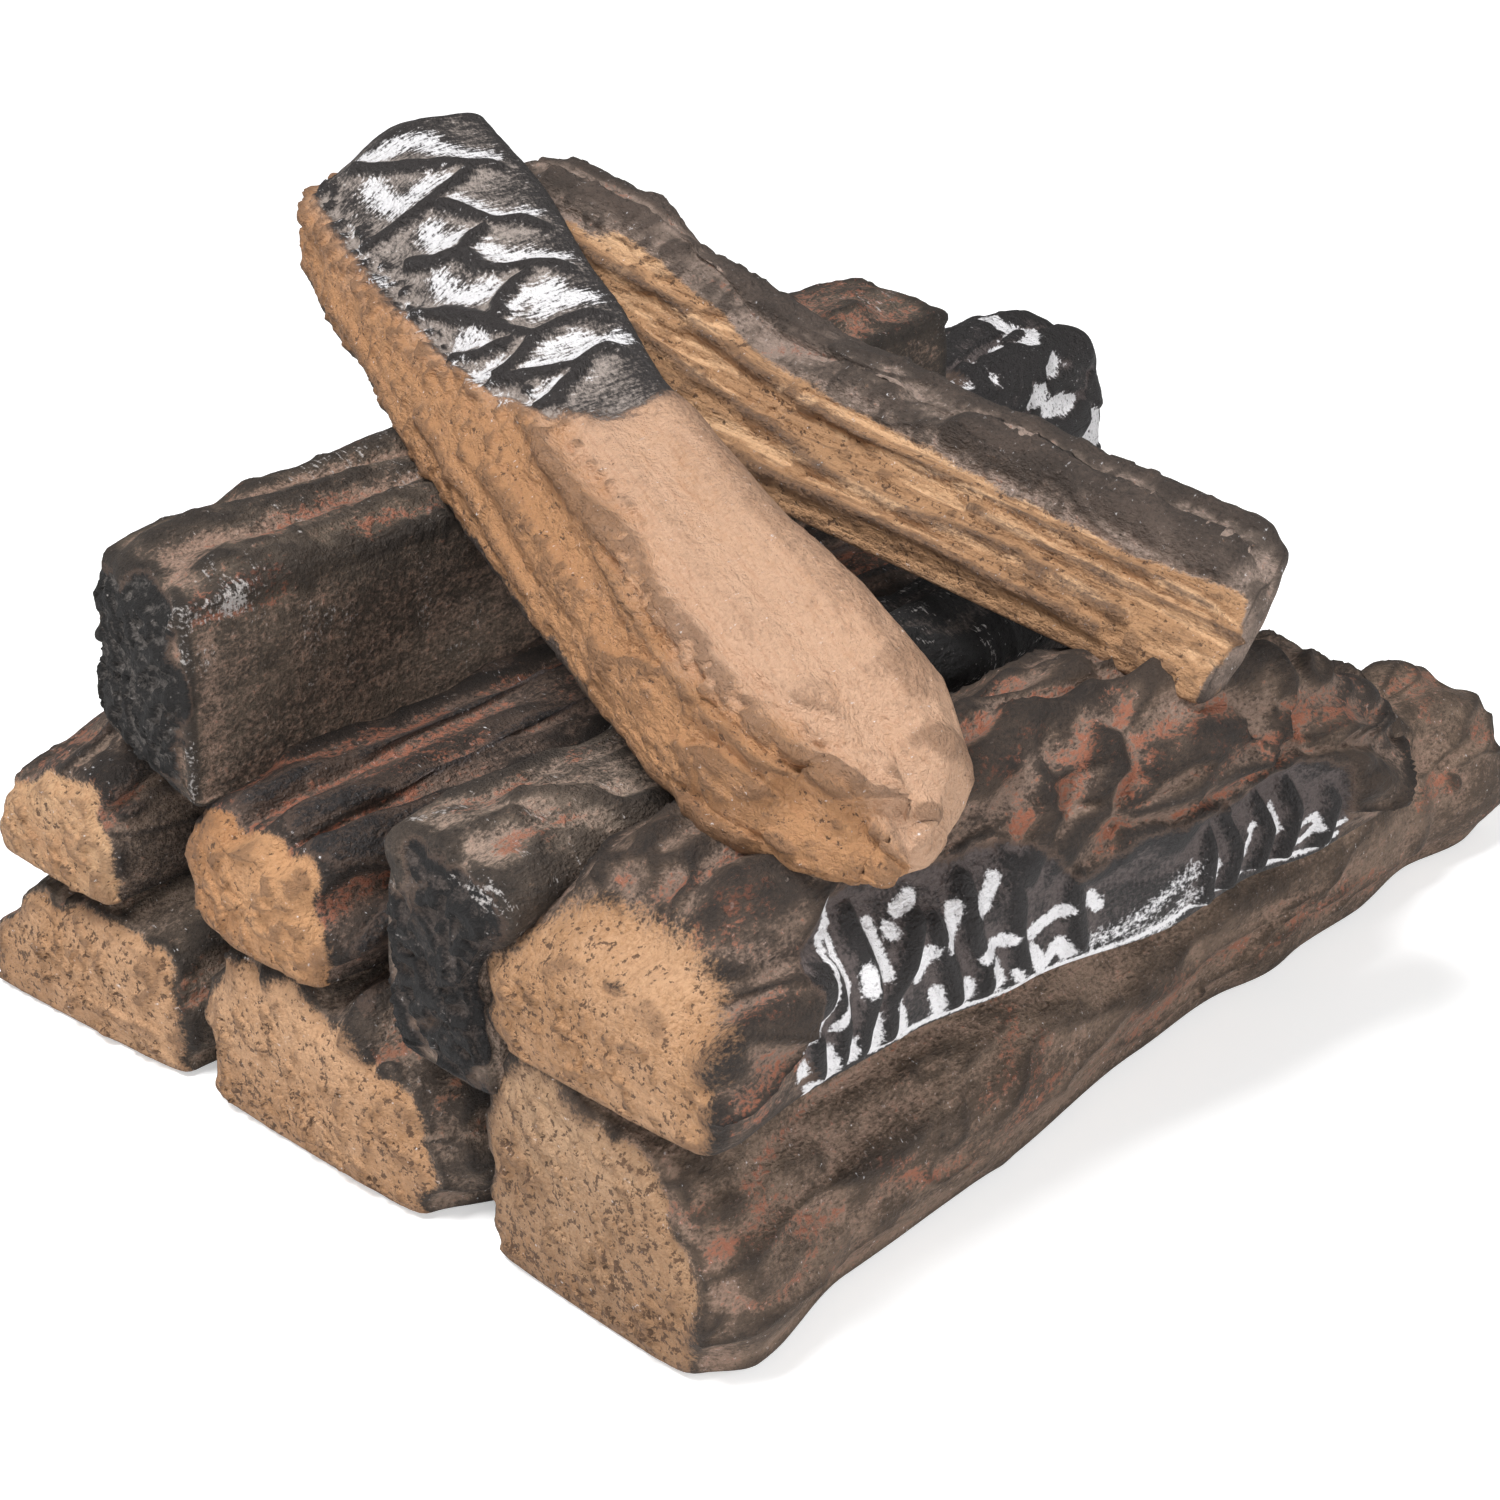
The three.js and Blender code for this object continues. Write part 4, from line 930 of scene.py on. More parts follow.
PLATE_ASH = [
    [(0.955, 0.653), (0.939, 0.609), (0.932, 0.563), (0.905, 0.545), (0.888, 0.512),
     (0.873, 0.469)],
    [(0.945, 0.60), (0.925, 0.56)],
    [(0.915, 0.672), (0.882, 0.662), (0.855, 0.648), (0.855, 0.608), (0.853, 0.577)],
    [(0.811, 0.575), (0.786, 0.552), (0.769, 0.517), (0.762, 0.476)],
    [(0.799, 0.63), (0.770, 0.632), (0.764, 0.604)],
    [(0.736, 0.584), (0.715, 0.550), (0.700, 0.510), (0.684, 0.476)],
    [(0.729, 0.656), (0.694, 0.646), (0.675, 0.621), (0.682, 0.599)],
    [(0.640, 0.600), (0.648, 0.566), (0.652, 0.518), (0.635, 0.517), (0.622, 0.554)],
    [(0.63, 0.54), (0.64, 0.53)], [(0.628, 0.511), (0.618, 0.471)],
    [(0.640, 0.68), (0.622, 0.645)],
    [(0.556, 0.615), (0.552, 0.581), (0.548, 0.533), (0.558, 0.501), (0.570, 0.530),
     (0.568, 0.565)],
    [(0.549, 0.488), (0.55, 0.455)], [(0.585, 0.690), (0.580, 0.656)],
    [(0.515, 0.625), (0.522, 0.590), (0.524, 0.563)],
]
EDGE_ASH = [
    [(0.904, 0.735), (0.864, 0.745), (0.824, 0.752), (0.76, 0.741), (0.698, 0.723), (0.639, 0.706),
     (0.581, 0.690), (0.534, 0.664)],
]
CHIP_STEPS = [
    [(0.484, 0.64), (0.412, 0.642), (0.359, 0.645), (0.306, 0.630), (0.284, 0.637), (0.232, 0.652),
     (0.167, 0.657), (0.122, 0.66), (0.076, 0.655), (0.039, 0.612), (0.024, 0.577), (0.008, 0.45)],
    [(0.345, 0.669), (0.302, 0.682), (0.258, 0.69), (0.207, 0.717), (0.159, 0.714), (0.124, 0.727),
     (0.08, 0.715), (0.053, 0.687), (0.029, 0.63)],
    [(0.158, 0.791), (0.12, 0.77), (0.082, 0.748), (0.062, 0.747), (0.045, 0.751)],
    [(0.152, 0.862), (0.107, 0.865), (0.074, 0.853), (0.051, 0.839)],
    [(0.183, 0.733), (0.221, 0.754), (0.247, 0.771), (0.298, 0.777)],
]
FLAKES = [
    [(0.428, 0.777), (0.355, 0.778), (0.298, 0.777), (0.245, 0.774)],
    [(0.506, 0.762), (0.421, 0.764), (0.37, 0.765), (0.312, 0.757)],
    [(0.026, 0.513), (0.014, 0.465), (0.004, 0.40)],
    [(0.146, 0.741), (0.103, 0.727), (0.069, 0.705)], [(0.62, 0.80), (0.5, 0.81), (0.4, 0.82)],
    [(0.85, 0.83), (0.7, 0.84), (0.6, 0.86)],
]
CHIP_DROPS = (5.0, 4.6, 3.6, 3.0, 3.2)  # millimetres
STEP_WIDTH = 1.2  # millimetres over which a step is made
STEP_FADE = 16.0  # millimetres over which the surface comes back
print("plate grooves:", len(PLATE_GROOVES), "chips:", len(CHIP_STEPS), "flakes:", len(FLAKES))

# %% The charred split log's shape and masks


def step_down(q, log, grid, path, drop):
    """A chip's step along a path: the side with the larger turn changes at once by `drop` and comes
    back over a longer way, so the step casts a soft shadow and runs out."""
    path = np.array(sorted(path))
    share, turn = grid["share"], grid["turn"]
    girth = 0.9 * 2 * (log["size"][1] + log["size"][2])
    jagged = 3.0 * (layers(q, (14, 5, 5), 3, 5.0) - 0.5)
    beyond = (turn - np.interp(share, *path.T)) * girth + jagged
    ends = smooth((share - path[0, 0] + 0.01) / 0.02) * smooth((path[-1, 0] - share) / 0.04)
    back = 1 - smooth((beyond - STEP_WIDTH) / STEP_FADE)
    return drop * smooth(beyond / STEP_WIDTH + 0.5) * back * ends


@sculptor("charred_split_log")
def charred_split_log(name, log, grid, q, shift):
    """Smooth upper face, rough left face, chip steps between them, and charred plates with ash."""
    share, turn = grid["share"], grid["turn"]
    edge = np.interp(share, *SPLIT_EDGE.T) + 0.03 * (layers(q, (9, 5, 5), 3, 1.0) - 0.5)
    left = smooth((turn - edge) / 0.02 + 0.5) * smooth((0.97 - turn) / 0.02)
    to = np.interp(turn, *BURNT_TO.T) + 0.035 * (layers(q, (5, 9, 9), 3, 2.0) - 0.5)
    char = smooth((share - to) / 0.045 + 0.6) * (1 - left) * smooth((turn - 0.02) / 0.03)
    skin = smooth(6 * grid["rise"])
    flow = swayed(q, 8, (70, 14, 14), shift)
    grain_lines = creases(flow, (110, 6.5, 6.5), 3, shift)
    rough_left = -1.6 * creases(flow, (50, 8, 8), 2, shift + 2)
    rough_left = rough_left - 2.2 * (1 - layers(q, (12, 6, 6), 4, shift + 3))
    rough_left = rough_left - 1.1 * creases(q, (16, 3.6, 3.6), 1.5, shift + 9)
    rough_left = rough_left - patches(q, 3.2, 2, shift + 10, 0.55, 0.2)
    planed = -0.6 * grain_lines - 1.6 * (1 - layers(q, (60, 16, 16), 2, shift + 4))
    planed = planed - 0.25 * layers(q, (9, 2.2, 2.2), 2, shift + 7)
    near_edge = 1 - smooth((np.abs(turn - edge) - 0.015) / 0.035)
    crumbs = -2.0 * near_edge * patches(q, 3.6, 3, 8.0, 0.45, 0.2)
    crumbs = crumbs - (0.3 + 0.9 * left) * layers(q, 2.8, 2, shift + 6)
    wavy = swayed(q, 2, 6.0, shift)
    inside = smooth((turn - 0.43) / 0.06)
    plates = inside * strokes(wavy, log, PLATE_GROOVES, 3.8)
    pillows = -1.1 * inside * strokes(wavy, log, PLATE_GROOVES, 9.0)
    upper = planed * (1 - char) + pillows * char
    relief = skin * (left * rough_left + (1 - left) * upper) + crumbs
    relief = relief - 2.6 * plates * char
    for path, drop in zip(CHIP_STEPS, CHIP_DROPS):
        relief = relief - step_down(q, log, grid, path, drop)
    relief = relief - 2.0 * strokes(q, log, FLAKES, 4.5)
    broken_base = smooth((q[..., 2] - 4 - 9 * (layers(q, (9, 6, 6), 3, 4.0) - 0.5)) / 4)
    bare = np.where(turn < 0.3, 1.0, broken_base)
    on_plates = 0.95 * strokes(wavy, log, PLATE_ASH, 8.5) * (1 - 0.9 * smooth(2 * plates))
    on_edge = 0.5 * strokes(q, log, EDGE_ASH, 4.5) * patches(q, 4, 2, 3.0, 0.35, 0.2)
    ash = np.maximum(np.clip(on_plates, 0, 1) * char, on_edge)
    blend = smooth((turn - edge) / 0.12 + 0.5) * smooth((0.97 - turn) / 0.02)
    tint = np.clip(0.1 + 0.85 * blend + 0.3 * (layers(q, (40, 12, 12), 3, shift) - 0.5), 0, 1)
    rust = 0.5 * near_edge * patches(q, (14, 6, 6), 2, 6.0, 0.45, 0.2) * (1 - char)
    return relief, masks_of(grid, bare=bare, char=char, ash=ash, tint=tint, rust=rust)


# %% [markdown]
# ### The cross log
#
# A slab with bark on its back and one coarse split face, torn along the grain in long dark splits.
# The bark is thin and speckled, with a few flowing ridges at the upper end.

# %% Paths of the cross log
# The edge between bark and split face, the long dark splits, and valleys in the bark.
TORN_EDGE = np.array([
    (0.0, 0.655), (0.077, 0.679), (0.168, 0.683), (0.263, 0.685), (0.361, 0.660), (0.49, 0.665),
    (0.554, 0.655), (0.667, 0.622), (0.759, 0.600), (0.851, 0.655), (0.918, 0.652), (1.0, 0.65)
])
LONG_SPLITS = [
    [(0.90, 0.677), (0.842, 0.679), (0.767, 0.666), (0.714, 0.660), (0.651, 0.673), (0.598, 0.675),
     (0.543, 0.683), (0.491, 0.691), (0.416, 0.697), (0.337, 0.697), (0.2, 0.71), (0.03, 0.71)],
    [(0.78, 0.725), (0.674, 0.732), (0.622, 0.737), (0.558, 0.747), (0.487, 0.763), (0.421, 0.77),
     (0.342, 0.767), (0.28, 0.766), (0.1, 0.77)],
    [(0.60, 0.81), (0.51, 0.805), (0.448, 0.805), (0.37, 0.798), (0.291, 0.802), (0.12, 0.81)],
    [(0.95, 0.72), (0.85, 0.74), (0.78, 0.76)], [(0.30, 0.73), (0.15, 0.74), (0.0, 0.735)],
]
BARK_VALLEYS = [
    [(0.0, 0.53), (0.1, 0.52), (0.22, 0.54), (0.35, 0.58)],
    [(0.45, 0.50), (0.6, 0.47), (0.75, 0.50)],
]
print("long splits:", len(LONG_SPLITS), "bark valleys:", len(BARK_VALLEYS))

# %% The cross log's shape and masks


@sculptor("cross_log")
def cross_log(name, log, grid, q, shift):
    """Bark over the back, and below its torn edge the split face with long dark splits."""
    share, turn = grid["share"], grid["turn"]
    edge = np.interp(share, *TORN_EDGE.T) + 0.03 * (layers(q, (14, 7, 7), 3, 1.0) - 0.5)
    face = smooth((turn - edge) / 0.025 + 0.5) * smooth((0.99 - turn) / 0.02)
    ends = sawn_mask(q, log, grid, -0.5, -0.5, ragged=1.0, soft=2.0)
    skin = smooth(4 * grid["rise"])
    at_rim = 0.15 + 0.85 * smooth((grid["along"] - 1) / 7)
    calm = (1 - 0.75 * smooth((turn - 0.85) / 0.05)) * at_rim
    bark, crests = bark_relief(q, shift, crest=1.8, fold=1.2, lump=2.0, run=(60, 13, 13))
    speckled = 0.6 * patches(q, 2.6, 2, 7.0, 0.55, 0.15) * smooth(grid["along"] / 8)
    flow = swayed(q, 5, (60, 9, 9), shift)
    torn = 1.9 * creases(flow, (110, 4.2, 4.2), 3, shift)
    torn = torn + 1.2 * creases(flow, (40, 2.6, 2.6), 3, shift + 3)
    torn = torn + 1.6 * (1 - layers(q, (18, 5, 5), 3, shift + 5))
    torn = torn + 1.3 * patches(q, (6, 2.6, 2.6), 2, shift + 8, 0.5, 0.2)
    relief = skin * ((1 - face) * (bark - speckled) - face * torn) * (1 - ends) * calm
    relief = relief + 0.6 * ends * (grid["sawn"] > 0.5) * sawn_relief(q, grid, shift)
    splits = face * strokes(swayed(q, 3, (20, 5, 5), shift), log, LONG_SPLITS, 3.2)
    relief = relief - 3.2 * splits
    valleys = strokes(swayed(q, 6, (20, 9, 9), shift), log, BARK_VALLEYS, 9.0)
    relief = relief - 4.5 * valleys * smooth(grid["along"] / 14)
    bare = face * (1 - ends * (share < 0.5))
    tint = np.clip(0.2 + 0.8 * (torn - 1.7) + 0.5 * smooth((turn - 0.76) / 0.08), 0, 1)
    rust = 0.6 * smooth((crests - 0.85) / 0.1) * smooth((share - 0.35) / 0.3) * (1 - face)
    return relief, masks_of(grid, bare=bare, char=0.38 * splits, rust=rust, tint=tint)


print("logs that have a shape:", len(SCULPTORS))

# %% [markdown]
# ## From grid to mesh
#
# The grid closes on itself round the log, and a point at the middle of each end face closes the
# ends. Quads are enough everywhere but round those two points. The masks go onto the mesh as
# attributes, with each point's place in the log's own frame, so that grain follows a log that
# leans and stays put when the log is lifted.

# %% Depth, and a mesh with attributes


def lying_deep(points, normals, steps):
    """How deep a point lies, in millimetres, under the mean of the four points that many steps
    away along the log and round it."""
    rows = np.arange(points.shape[0])
    last = points.shape[0] - 1
    mean = points[np.clip(rows - steps, 0, last)] + points[np.clip(rows + steps, 0, last)]
    mean = mean + np.roll(points, steps, 1) + np.roll(points, -steps, 1)
    return ((points - mean / 4) * normals).sum(-1)


def log_mesh(name, points, values):
    """A closed mesh from the grid of points, with a pole in the middle of each end face."""
    rows, columns = points.shape[:2]
    flat = points.reshape(-1, 3)
    poles = np.stack([points[0].mean(0), points[-1].mean(0)])
    everything = np.concatenate([flat, poles])
    here = np.arange(rows * columns).reshape(rows, columns)
    there = np.roll(here, -1, 1)
    quads = np.stack([here[:-1], here[1:], there[1:], there[:-1]], -1).reshape(-1, 4)
    front = np.stack([np.full(columns, rows * columns), here[0], there[0]], -1)
    rear = np.stack([np.full(columns, rows * columns + 1), there[-1], here[-1]], -1)
    corners = np.concatenate([quads.ravel(), front.ravel(), rear.ravel()])
    sizes = np.concatenate([np.full(len(quads), 4), np.full(2 * columns, 3)])
    mesh = bpy.data.meshes.new(name)
    mesh.vertices.add(len(everything))
    mesh.vertices.foreach_set("co", to_stack(name, everything).ravel())
    mesh.loops.add(len(corners))
    mesh.loops.foreach_set("vertex_index", corners)
    mesh.polygons.add(len(sizes))
    mesh.polygons.foreach_set("loop_start", np.concatenate([[0], np.cumsum(sizes)[:-1]]))
    mesh.update(calc_edges=True)
    mesh.shade_smooth()
    place = mesh.attributes.new("place", "FLOAT_VECTOR", "POINT")
    place.data.foreach_set("vector", (everything * MM).ravel())
    for key, value in values.items():
        filled = np.concatenate([value.ravel(), [value[0].mean(), value[-1].mean()]])
        mesh.attributes.new(key, "FLOAT", "POINT").data.foreach_set("value", filled)
    return mesh


# %% [markdown]
# ## All ten logs
#
# Pale dust lies in the hollows and painted shade on what stands out, so each point also gets its
# depth under the surface round it, near by and farther off. The bark is made a little paler near
# the front rims, and the flat base keeps its height whatever the relief.

# %% Making the logs
BASE_RISE = 0.001  # a point that rises less than this lies on the base
NEAR_BY, FARTHER_OFF = 2.5, 6.0  # millimetres to the points that a depth is measured against
PALER_TO = 14.0  # millimetres behind the front end at which the paler band ends


def make_log(name, shift):
    """Shapes one log, puts it in its place, hangs it on the body that carries it and hides the
    solid that it stands for.
    """
    log = LOGS[name]
    grid = body_grid(log)
    q = grid["points"]
    normals = inward(q)
    relief, masks = SCULPTORS[name](name, log, grid, q, shift)
    shaped = q + normals * relief[..., None]
    shaped[..., 2] = np.where(grid["rise"] <= BASE_RISE, q[..., 2], shaped[..., 2])
    normals = inward(shaped)
    fine = lying_deep(shaped, normals, max(1, round(NEAR_BY / grid["spacing"])))
    broad = lying_deep(shaped, normals, max(1, round(FARTHER_OFF / grid["spacing"])))
    # The bark is made paler near the front rims, by raising the depth measure there.
    paler_near_front = 0.7 * smooth((PALER_TO - grid["along"]) / 12) * (grid["sawn"] == 0)
    # Depth under the surface round it: pale dust above 0.5 and painted shade below it.
    masks["crest"] = 0.5 + 0.5 * np.tanh(0.9 * fine + 0.4 * broad + paler_near_front)
    piece = bpy.data.objects.new("visible_" + name, log_mesh(name, shaped, masks))
    bpy.context.scene.collection.objects.link(piece)
    body, slot = RIDES[name]
    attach(piece, body)
    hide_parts(name)
    print(piece.name, len(piece.data.polygons), "faces, relief in mm",
          np.round([relief.min(), relief.max()], 1).tolist())
    return piece


pieces = {name: make_log(name, 1.0 + 1.7 * number) for number, name in enumerate(LOGS)}

# %% [markdown]
# ## Paint
#
# The logs are refractory ceramic, sprayed and brushed with matte high-temperature paint: a brown
# ground, pinkish dust in the hollows, rust along the bark's lines, soot and char, and white ash
# last. The material lays the same coats in the same order, and adds painted shade on what stands
# out. Each coat covers where a mask and a speckle together pass a level, which gives a painter's
# broken edge.

# %% Colours and one helper for nodes


def linear(hex_colour):
    """An sRGB hex colour as linear RGBA: c/12.92 where dark, else ((c + 0.055)/1.055)^2.4."""
    parts = [int(hex_colour[i:i + 2], 16) / 255 for i in (1, 3, 5)]
    return (*(c / 12.92 if c <= 0.04045 else ((c + 0.055) / 1.055) ** 2.4 for c in parts), 1.0)


def add(tree, kind, settings=None, inputs=None):
    """A new node with its settings. Each input is a value, or another node's output to link to."""
    node = tree.nodes.new(kind)
    for key, value in (settings or {}).items():
        setattr(node, key, value)
    for key, value in (inputs or {}).items():
        if isinstance(value, bpy.types.NodeSocket):
            tree.links.new(value, node.inputs[key])
        else:
            node.inputs[key].default_value = value
    return node


print("the brown of the sprayed ground, linear:", np.round(linear("#463A30"), 3).tolist())

# %% [markdown]
# ## The painted ceramic
#
# A speckle is noise of a real size in millimetres, stretched along the log where it stands for
# grain or a brush's drag. Brush marks and grit are well under a millimetre on the real logs. They
# are drawn at 0.9 to 1.1 mm, about the finest that shows in a picture of the whole stack.

# %% Speckles and coats


def speckle(tree, place, size, detail, stretch, offset=0.0):
    """Noise from about -1 to 1 with features `size` millimetres across, longer by `stretch` along,
    across and up."""
    scale = tuple(1 / MM / size / s for s in stretch)
    scaled = add(tree, "ShaderNodeVectorMath", {"operation": "MULTIPLY_ADD"}, {
        0: place, 1: scale, 2: (offset, offset, offset)}).outputs[0]
    noise = add(tree, "ShaderNodeTexNoise", {"noise_dimensions": "3D"}, {
        "Vector": scaled, "Scale": 1.0, "Detail": detail, "Roughness": 0.65}).outputs[0]
    return add(tree, "ShaderNodeMath", {"operation": "MULTIPLY_ADD"},
               {0: noise, 1: 4.0, 2: -2.0}).outputs[0]


def coat(tree, under, over, cover, low, high, blend="MIX", strength=1.0):
    """One coat of paint over another where `cover` passes from `low` to `high`."""
    where = add(tree, "ShaderNodeMapRange", {"interpolation_type": "SMOOTHSTEP"}, {
        "Value": cover, "From Min": low, "From Max": high, "To Max": strength}).outputs[0]
    mixed = add(tree, "ShaderNodeMix", {"data_type": "RGBA", "blend_type": blend},
                {0: where, 6: under, 7: over})
    return mixed.outputs[2]


def broken(tree, mask, *parts):
    """A mask whose edge is broken up by speckles: mask + amount * speckle for each pair."""
    for noise, amount in parts:
        mask = add(tree, "ShaderNodeMath", {"operation": "MULTIPLY_ADD"},
                   {0: noise, 1: amount, 2: mask}).outputs[0]
    return mask


# %% One log's paint
PAINT_ROUGHNESS = 0.82
PORES, PALE_GRAINS = "#241C18", "#C2B2A8"
# Painted shade, multiplied over what stands out on painted surfaces.
PAINTED_SHADE = "#4E4038"
# The second colour here is painted shade for bare ceramic.
CRUMBLED, BARE_PAINTED_SHADE = "#4A3324", "#6B4E38"
SCORCHED = "#5B483D"


def painted_ceramic(name, ground, light, rust, sand, grain_tone="#7A5434", grain=0.35, pits=0.4,
                    char=("#1E1A1A", "#5A504E"), ash="#EDEBED", char_rough=0.6, dry=0.5, grit=0.6,
                    light_level=0.6):
    """Matte paint on cast ceramic. `ground`, `sand` and `char` are pairs of tones, `light` the
    dust in the hollows and `light_level` how deep they must be, `grain` and `pits` the
    strength of the grain and how rare the pits are on bare ceramic, `dry` how far the ash breaks
    up along the brush, and `grit` the depth of the finest grain in millimetres. Refractory ceramic
    and its paint have the index of ordinary mineral surfaces, 1.5, and scatter widely."""
    material = bpy.data.materials.new(name)
    material.use_nodes = True
    tree = material.node_tree
    tree.nodes.clear()
    place = add(tree, "ShaderNodeAttribute", {"attribute_name": "place"}).outputs["Vector"]
    mask = {key: add(tree, "ShaderNodeAttribute", {"attribute_name": key}).outputs["Fac"]
            for key in ("crest", "bare", "char", "ash", "rust", "tint")}
    cloud = speckle(tree, place, 22, 3, (2, 1, 1))
    patch = speckle(tree, place, 5, 5, (2, 1, 1), 3.0)
    fleck = speckle(tree, place, 0.9, 4, (1.5, 1, 1), 7.0)
    fibre = speckle(tree, place, 1.1, 3, (12, 1, 1), 5.0)
    brush = speckle(tree, place, 0.9, 2, (1, 6, 2), 11.0)
    crumb = speckle(tree, place, 2.2, 3, (1, 1, 1), 9.0)

    # The sprayed ground, uneven over some centimetres.
    uneven = broken(tree, cloud, (patch, 0.5), (fleck, 0.5))
    colour = coat(tree, linear(ground[0]), linear(ground[1]), uneven, -0.6, 0.6)
    # Pinkish dust, wide in the hollows and flecked where it runs out.
    deep = broken(tree, mask["crest"], (patch, 0.3), (crumb, 0.22), (fleck, 0.42))
    colour = coat(tree, colour, linear(light), deep, light_level - 0.3, light_level + 0.5,
                  strength=0.85)
    # Rust along the bark's lines.
    dragged = broken(tree, mask["rust"], (mask["crest"], 0.7), (patch, 0.7), (crumb, 0.8),
                     (fleck, 0.9))
    colour = coat(tree, colour, linear(rust), dragged, 1.0, 1.9, strength=0.85)
    # Grit: dark pores and pale grains.
    colour = coat(tree, colour, linear(PORES), fleck, -0.35, -0.8, strength=0.5)
    colour = coat(tree, colour, linear(PALE_GRAINS), crumb, 0.62, 0.95, strength=0.4)
    # Painted shade, multiplied over what stands out by the depth measure.
    colour = coat(tree, colour, linear(PAINTED_SHADE), mask["crest"], 0.5, 0.0, "MULTIPLY", 0.7)
    # Bare ceramic: two sandy tones, faint grain and dark crumbled pits.
    shaded = broken(tree, mask["tint"], (patch, 0.25), (fleck, 0.3))
    bare = coat(tree, linear(sand[0]), linear(sand[1]), shaded, 0.0, 1.0)
    bare = coat(tree, bare, linear(grain_tone), fibre, -0.1, 0.8, strength=grain)
    crumbled = broken(tree, crumb, (fleck, 0.5), (patch, 0.4), (mask["tint"], -0.5))
    bare = coat(tree, bare, linear(CRUMBLED), crumbled, -pits - 0.05, -pits - 0.35, strength=0.85)
    # Painted shade on bare ceramic, darker on what stands out by the depth measure.
    bare_shade_depth = broken(tree, mask["crest"], (fleck, 0.15))
    bare = coat(tree, bare, linear(BARE_PAINTED_SHADE), bare_shade_depth, 0.45, 0.05, strength=0.65)
    unpainted = broken(tree, mask["bare"], (patch, 0.2), (fleck, 0.35))
    colour = coat(tree, colour, bare, unpainted, 0.2, 0.8)
    # Scorch and char, and ash brushed dry over them.
    scorched = broken(tree, mask["char"], (patch, 0.15), (fleck, 0.25))
    colour = coat(tree, colour, linear(SCORCHED), scorched, 0.15, 0.55, strength=0.75)
    worn = broken(tree, mask["crest"], (fleck, 0.35), (brush, 0.25))
    burnt = coat(tree, linear(char[0]), linear(char[1]), worn, 0.3, 1.0)
    colour = coat(tree, colour, burnt, scorched, 0.4, 0.8)
    dabbed = broken(tree, mask["ash"], (brush, dry), (fleck, 0.4))
    colour = coat(tree, colour, linear(ash), dabbed, 0.4, 0.9, strength=0.95)
    # Char is a little smoother than paint, and grit and grain lift the surface.
    gloss = add(tree, "ShaderNodeMapRange", {}, {
        "Value": mask["char"], "To Min": PAINT_ROUGHNESS, "To Max": char_rough}).outputs[0]
    height = broken(tree, crumb, (fleck, 0.55), (fibre, 0.3))
    bump = add(tree, "ShaderNodeBump", {}, {
        "Strength": 0.9, "Distance": grit * MM, "Height": height}).outputs[0]
    shader = add(tree, "ShaderNodeBsdfPrincipled", {}, {
        "Base Color": colour, "Roughness": gloss, "IOR": 1.5, "Normal": bump})
    add(tree, "ShaderNodeOutputMaterial", {}, {"Surface": shader.outputs[0]})
    return material


print("roughness of the paint:", PAINT_ROUGHNESS)

# %% The paint of each log
SAWN = ("#C69D79", "#A67C56")
FINISHES = {
    "hearth_log_left": dict(ground=("#463A30", "#66574A"), light="#8C7768", rust="#8B5A44",
                            sand=SAWN),
    "hearth_log_middle": dict(ground=("#3F342C", "#5B4D42"), light="#8C7768", rust="#8B5A44",
                              sand=SAWN, pits=0.42),
    "hearth_log_right": dict(ground=("#524235", "#776353"), light="#967B6B", rust="#955A43",
                             sand=("#B79575", "#9A7656"), light_level=0.55),
    "long_log": dict(ground=("#392E27", "#57483D"), light="#8C7768", rust="#8F5A45",
                     sand=("#CBA57F", "#B78A64"), pits=0.6),
    "ridged_log": dict(ground=("#382D26", "#524238"), light="#80695C", rust="#9A5F48",
                       sand=("#C4956B", "#A4744C"), pits=0.6),
    "black_block_log": dict(ground=("#4F443B", "#78695C"), light="#B59C8B", rust="#9A6048",
                            sand=SAWN, light_level=0.55,
                            char=("#131010", "#544A45"), ash="#C4BEBB", char_rough=0.8, grit=0.9),
    "ash_streaked_log": dict(ground=("#3E322A", "#5F4E41"), light="#8F786A", rust="#945840",
                             sand=SAWN, pits=0.52, dry=0.2),
    "upper_block_log": dict(ground=("#453A31", "#5F5246"), light="#A88A78", rust="#9A5F48",
                            sand=SAWN, light_level=0.62,
                            char=("#161312", "#66605C"), ash="#B9B3B0", char_rough=0.85, grit=0.9),
    "charred_split_log": dict(ground=("#4A3C34", "#75604F"), light="#B08A6A", rust="#C0A088",
                              sand=("#C49E82", "#AE8058"), grain_tone="#A77656", grain=0.3,
                              pits=0.95, char=("#282322", "#A3978F"), grit=0.75),
    "cross_log": dict(ground=("#5E5148", "#7E6D62"), light="#A08C80", rust="#8F604C",
                      sand=("#D9B088", "#AE8560"), grain_tone="#5E4634", grain=0.55, pits=0.85,
                      grit=0.75),
}
for name, finish in FINISHES.items():
    pieces[name].data.materials.append(painted_ceramic("painted_ceramic_" + name, **finish))
print("materials:", len(FINISHES))

# %% [markdown]
# ## The floor
#
# The stack stands on a plain pale floor that keeps its shadow. A floor lit only by the lamps would
# turn grey away from them, so it also shines by itself for the camera alone: a little near the
# stack and more and more farther off, until it is white.

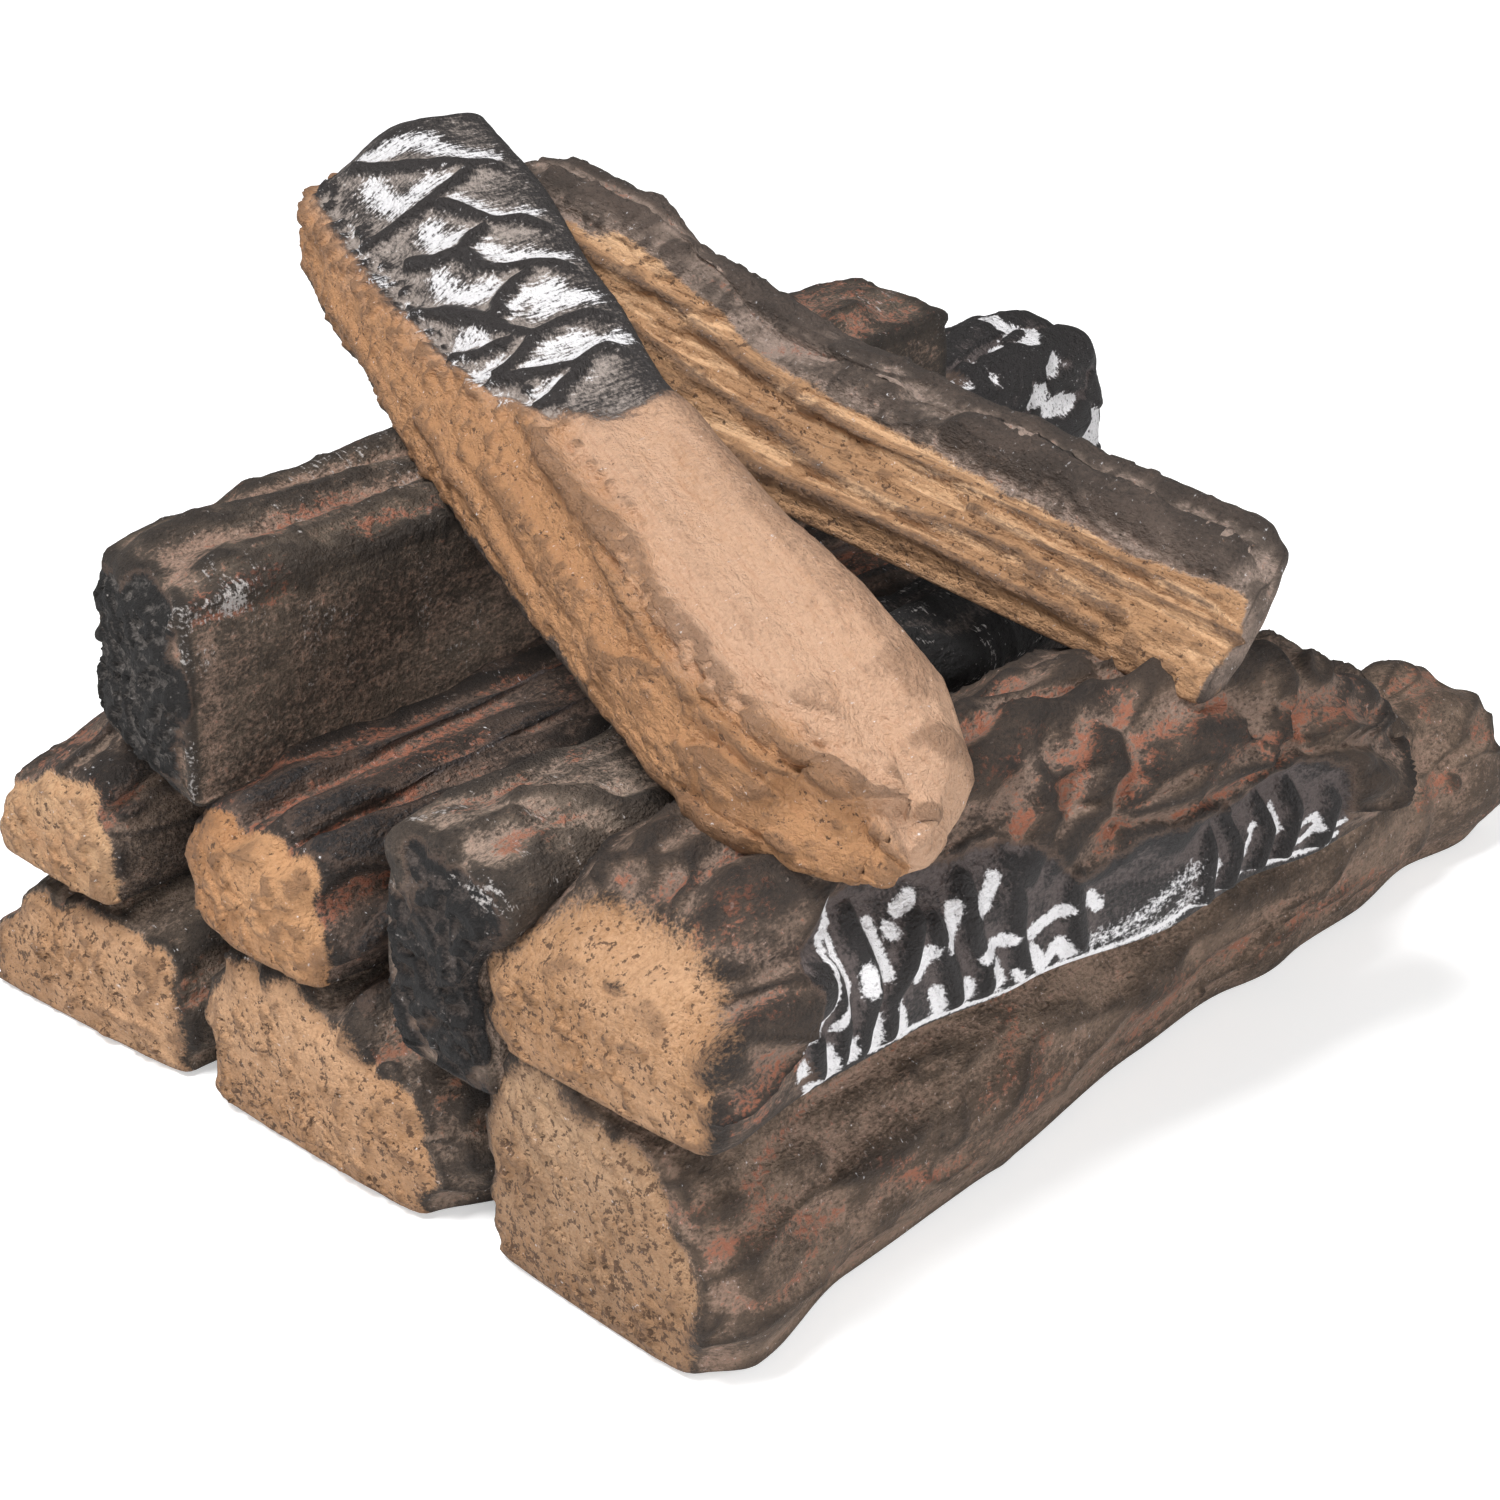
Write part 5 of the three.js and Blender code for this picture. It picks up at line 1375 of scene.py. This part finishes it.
# %% The floor
scene = bpy.context.scene
FLOOR_REACH = 6.0  # metres from the stack to the floor's edge
FLOOR_HEIGHT = -0.0006  # metres, just under the logs
SHINE_FROM, SHINE_TO = (0.4, 0.4), (1.6, 0.85)  # metres from the middle, and the light there
floor_mesh = bpy.data.meshes.new("floor")
corners = [(x * FLOOR_REACH, y * FLOOR_REACH, FLOOR_HEIGHT)
           for x, y in ((-1, -1), (1, -1), (1, 1), (-1, 1))]
floor_mesh.from_pydata(corners, [], [(0, 1, 2, 3)])
floor = bpy.data.objects.new("floor", floor_mesh)
scene.collection.objects.link(floor)
paper = bpy.data.materials.new("white_paper_floor")
paper.use_nodes = True
tree = paper.node_tree
tree.nodes.clear()
seen = add(tree, "ShaderNodeLightPath").outputs["Is Camera Ray"]
spot = add(tree, "ShaderNodeTexCoord").outputs["Object"]
away = add(tree, "ShaderNodeVectorMath", {"operation": "LENGTH"}, {0: spot}).outputs["Value"]
rising = add(tree, "ShaderNodeMapRange", {"interpolation_type": "SMOOTHSTEP"}, {
    "Value": away, "From Min": SHINE_FROM[0], "From Max": SHINE_TO[0],
    "To Min": SHINE_FROM[1], "To Max": SHINE_TO[1]}).outputs[0]
glow = add(tree, "ShaderNodeMath", {"operation": "MULTIPLY"}, {0: seen, 1: rising}).outputs[0]
sheet = add(tree, "ShaderNodeBsdfPrincipled", {}, {
    "Base Color": linear("#F4F4F4"), "Roughness": 0.9, "Specular IOR Level": 0.1,
    "Emission Color": (1, 1, 1, 1), "Emission Strength": glow})
add(tree, "ShaderNodeOutputMaterial", {}, {"Surface": sheet.outputs[0]})
floor_mesh.materials.append(paper)
print("floor:", 2 * FLOOR_REACH, "metres wide")

# %% [markdown]
# ## The surroundings and the lamps
#
# The background is white for the camera and a weak even light for everything else. Three soft
# boxes light the logs: the strongest above their front ends, a weaker one from the camera's side
# and one from the right. A single lamp would leave the gaps between the logs black.

# %% The surroundings
EVEN_LIGHT = 0.2
world = bpy.data.worlds.new("studio")
scene.world = world
world.use_nodes = True
tree = world.node_tree
tree.nodes.clear()
seen = add(tree, "ShaderNodeLightPath").outputs["Is Camera Ray"]
white = add(tree, "ShaderNodeMath", {"operation": "MAXIMUM"}, {0: seen, 1: EVEN_LIGHT}).outputs[0]
back = add(tree, "ShaderNodeBackground", {}, {"Color": (1, 1, 1, 1), "Strength": white})
add(tree, "ShaderNodeOutputWorld", {}, {"Surface": back.outputs[0]})
scene.view_settings.view_transform = "Standard"
print("even light from all sides:", EVEN_LIGHT)

# %% The lamps
AIM = (0.0, 0.0, 0.08)  # metres, in the middle of the stack
# Each lamp's name, place in metres, side in metres and power in watts.
LAMPS = (
    ("key", (-0.65, 0.1, 1.35), 0.6, 24.5),
    ("front_fill", (-0.95, -1.15, 0.6), 0.7, 10.0),
    ("right_fill", (0.35, -1.4, 0.75), 0.7, 9.0),
)
for name, place, side, power in LAMPS:
    lamp = bpy.data.lights.new(name, "AREA")
    lamp.size, lamp.energy = side, power
    box = bpy.data.objects.new(name, lamp)
    box.location = place
    way = np.array(AIM) - np.array(place)
    yaw, pitch = math.atan2(way[1], way[0]), math.atan2(-way[2], math.hypot(way[0], way[1]))
    box.rotation_euler = (math.pi / 2 - pitch, 0, yaw - math.pi / 2)
    scene.collection.objects.link(box)
print("lamps:", [lamp[0] for lamp in LAMPS])

# %% [markdown]
# ## The camera
#
# It stands where the photograph was taken, 27.8 degrees above the horizon, and looks along the
# stack from its front right corner. The place and the lens were fitted to the logs' straight
# edges.

# %% The camera
CAMERA_PLACE = (-0.61211, -0.53266, 0.46815)  # metres
LOOKS_DOWN, LOOKS_RIGHT = 27.8, 47.1  # degrees under the horizon, and clockwise from +Y
lens = bpy.data.cameras.new("camera")
lens.lens, lens.sensor_width = 76.4, 36.0
lens.dof.use_dof = False
camera = bpy.data.objects.new("camera", lens)
camera.location = CAMERA_PLACE
camera.rotation_euler = (math.radians(90 - LOOKS_DOWN), 0, math.radians(-LOOKS_RIGHT))
scene.collection.objects.link(camera)
scene.camera = camera
print("lens:", lens.lens, "mm")
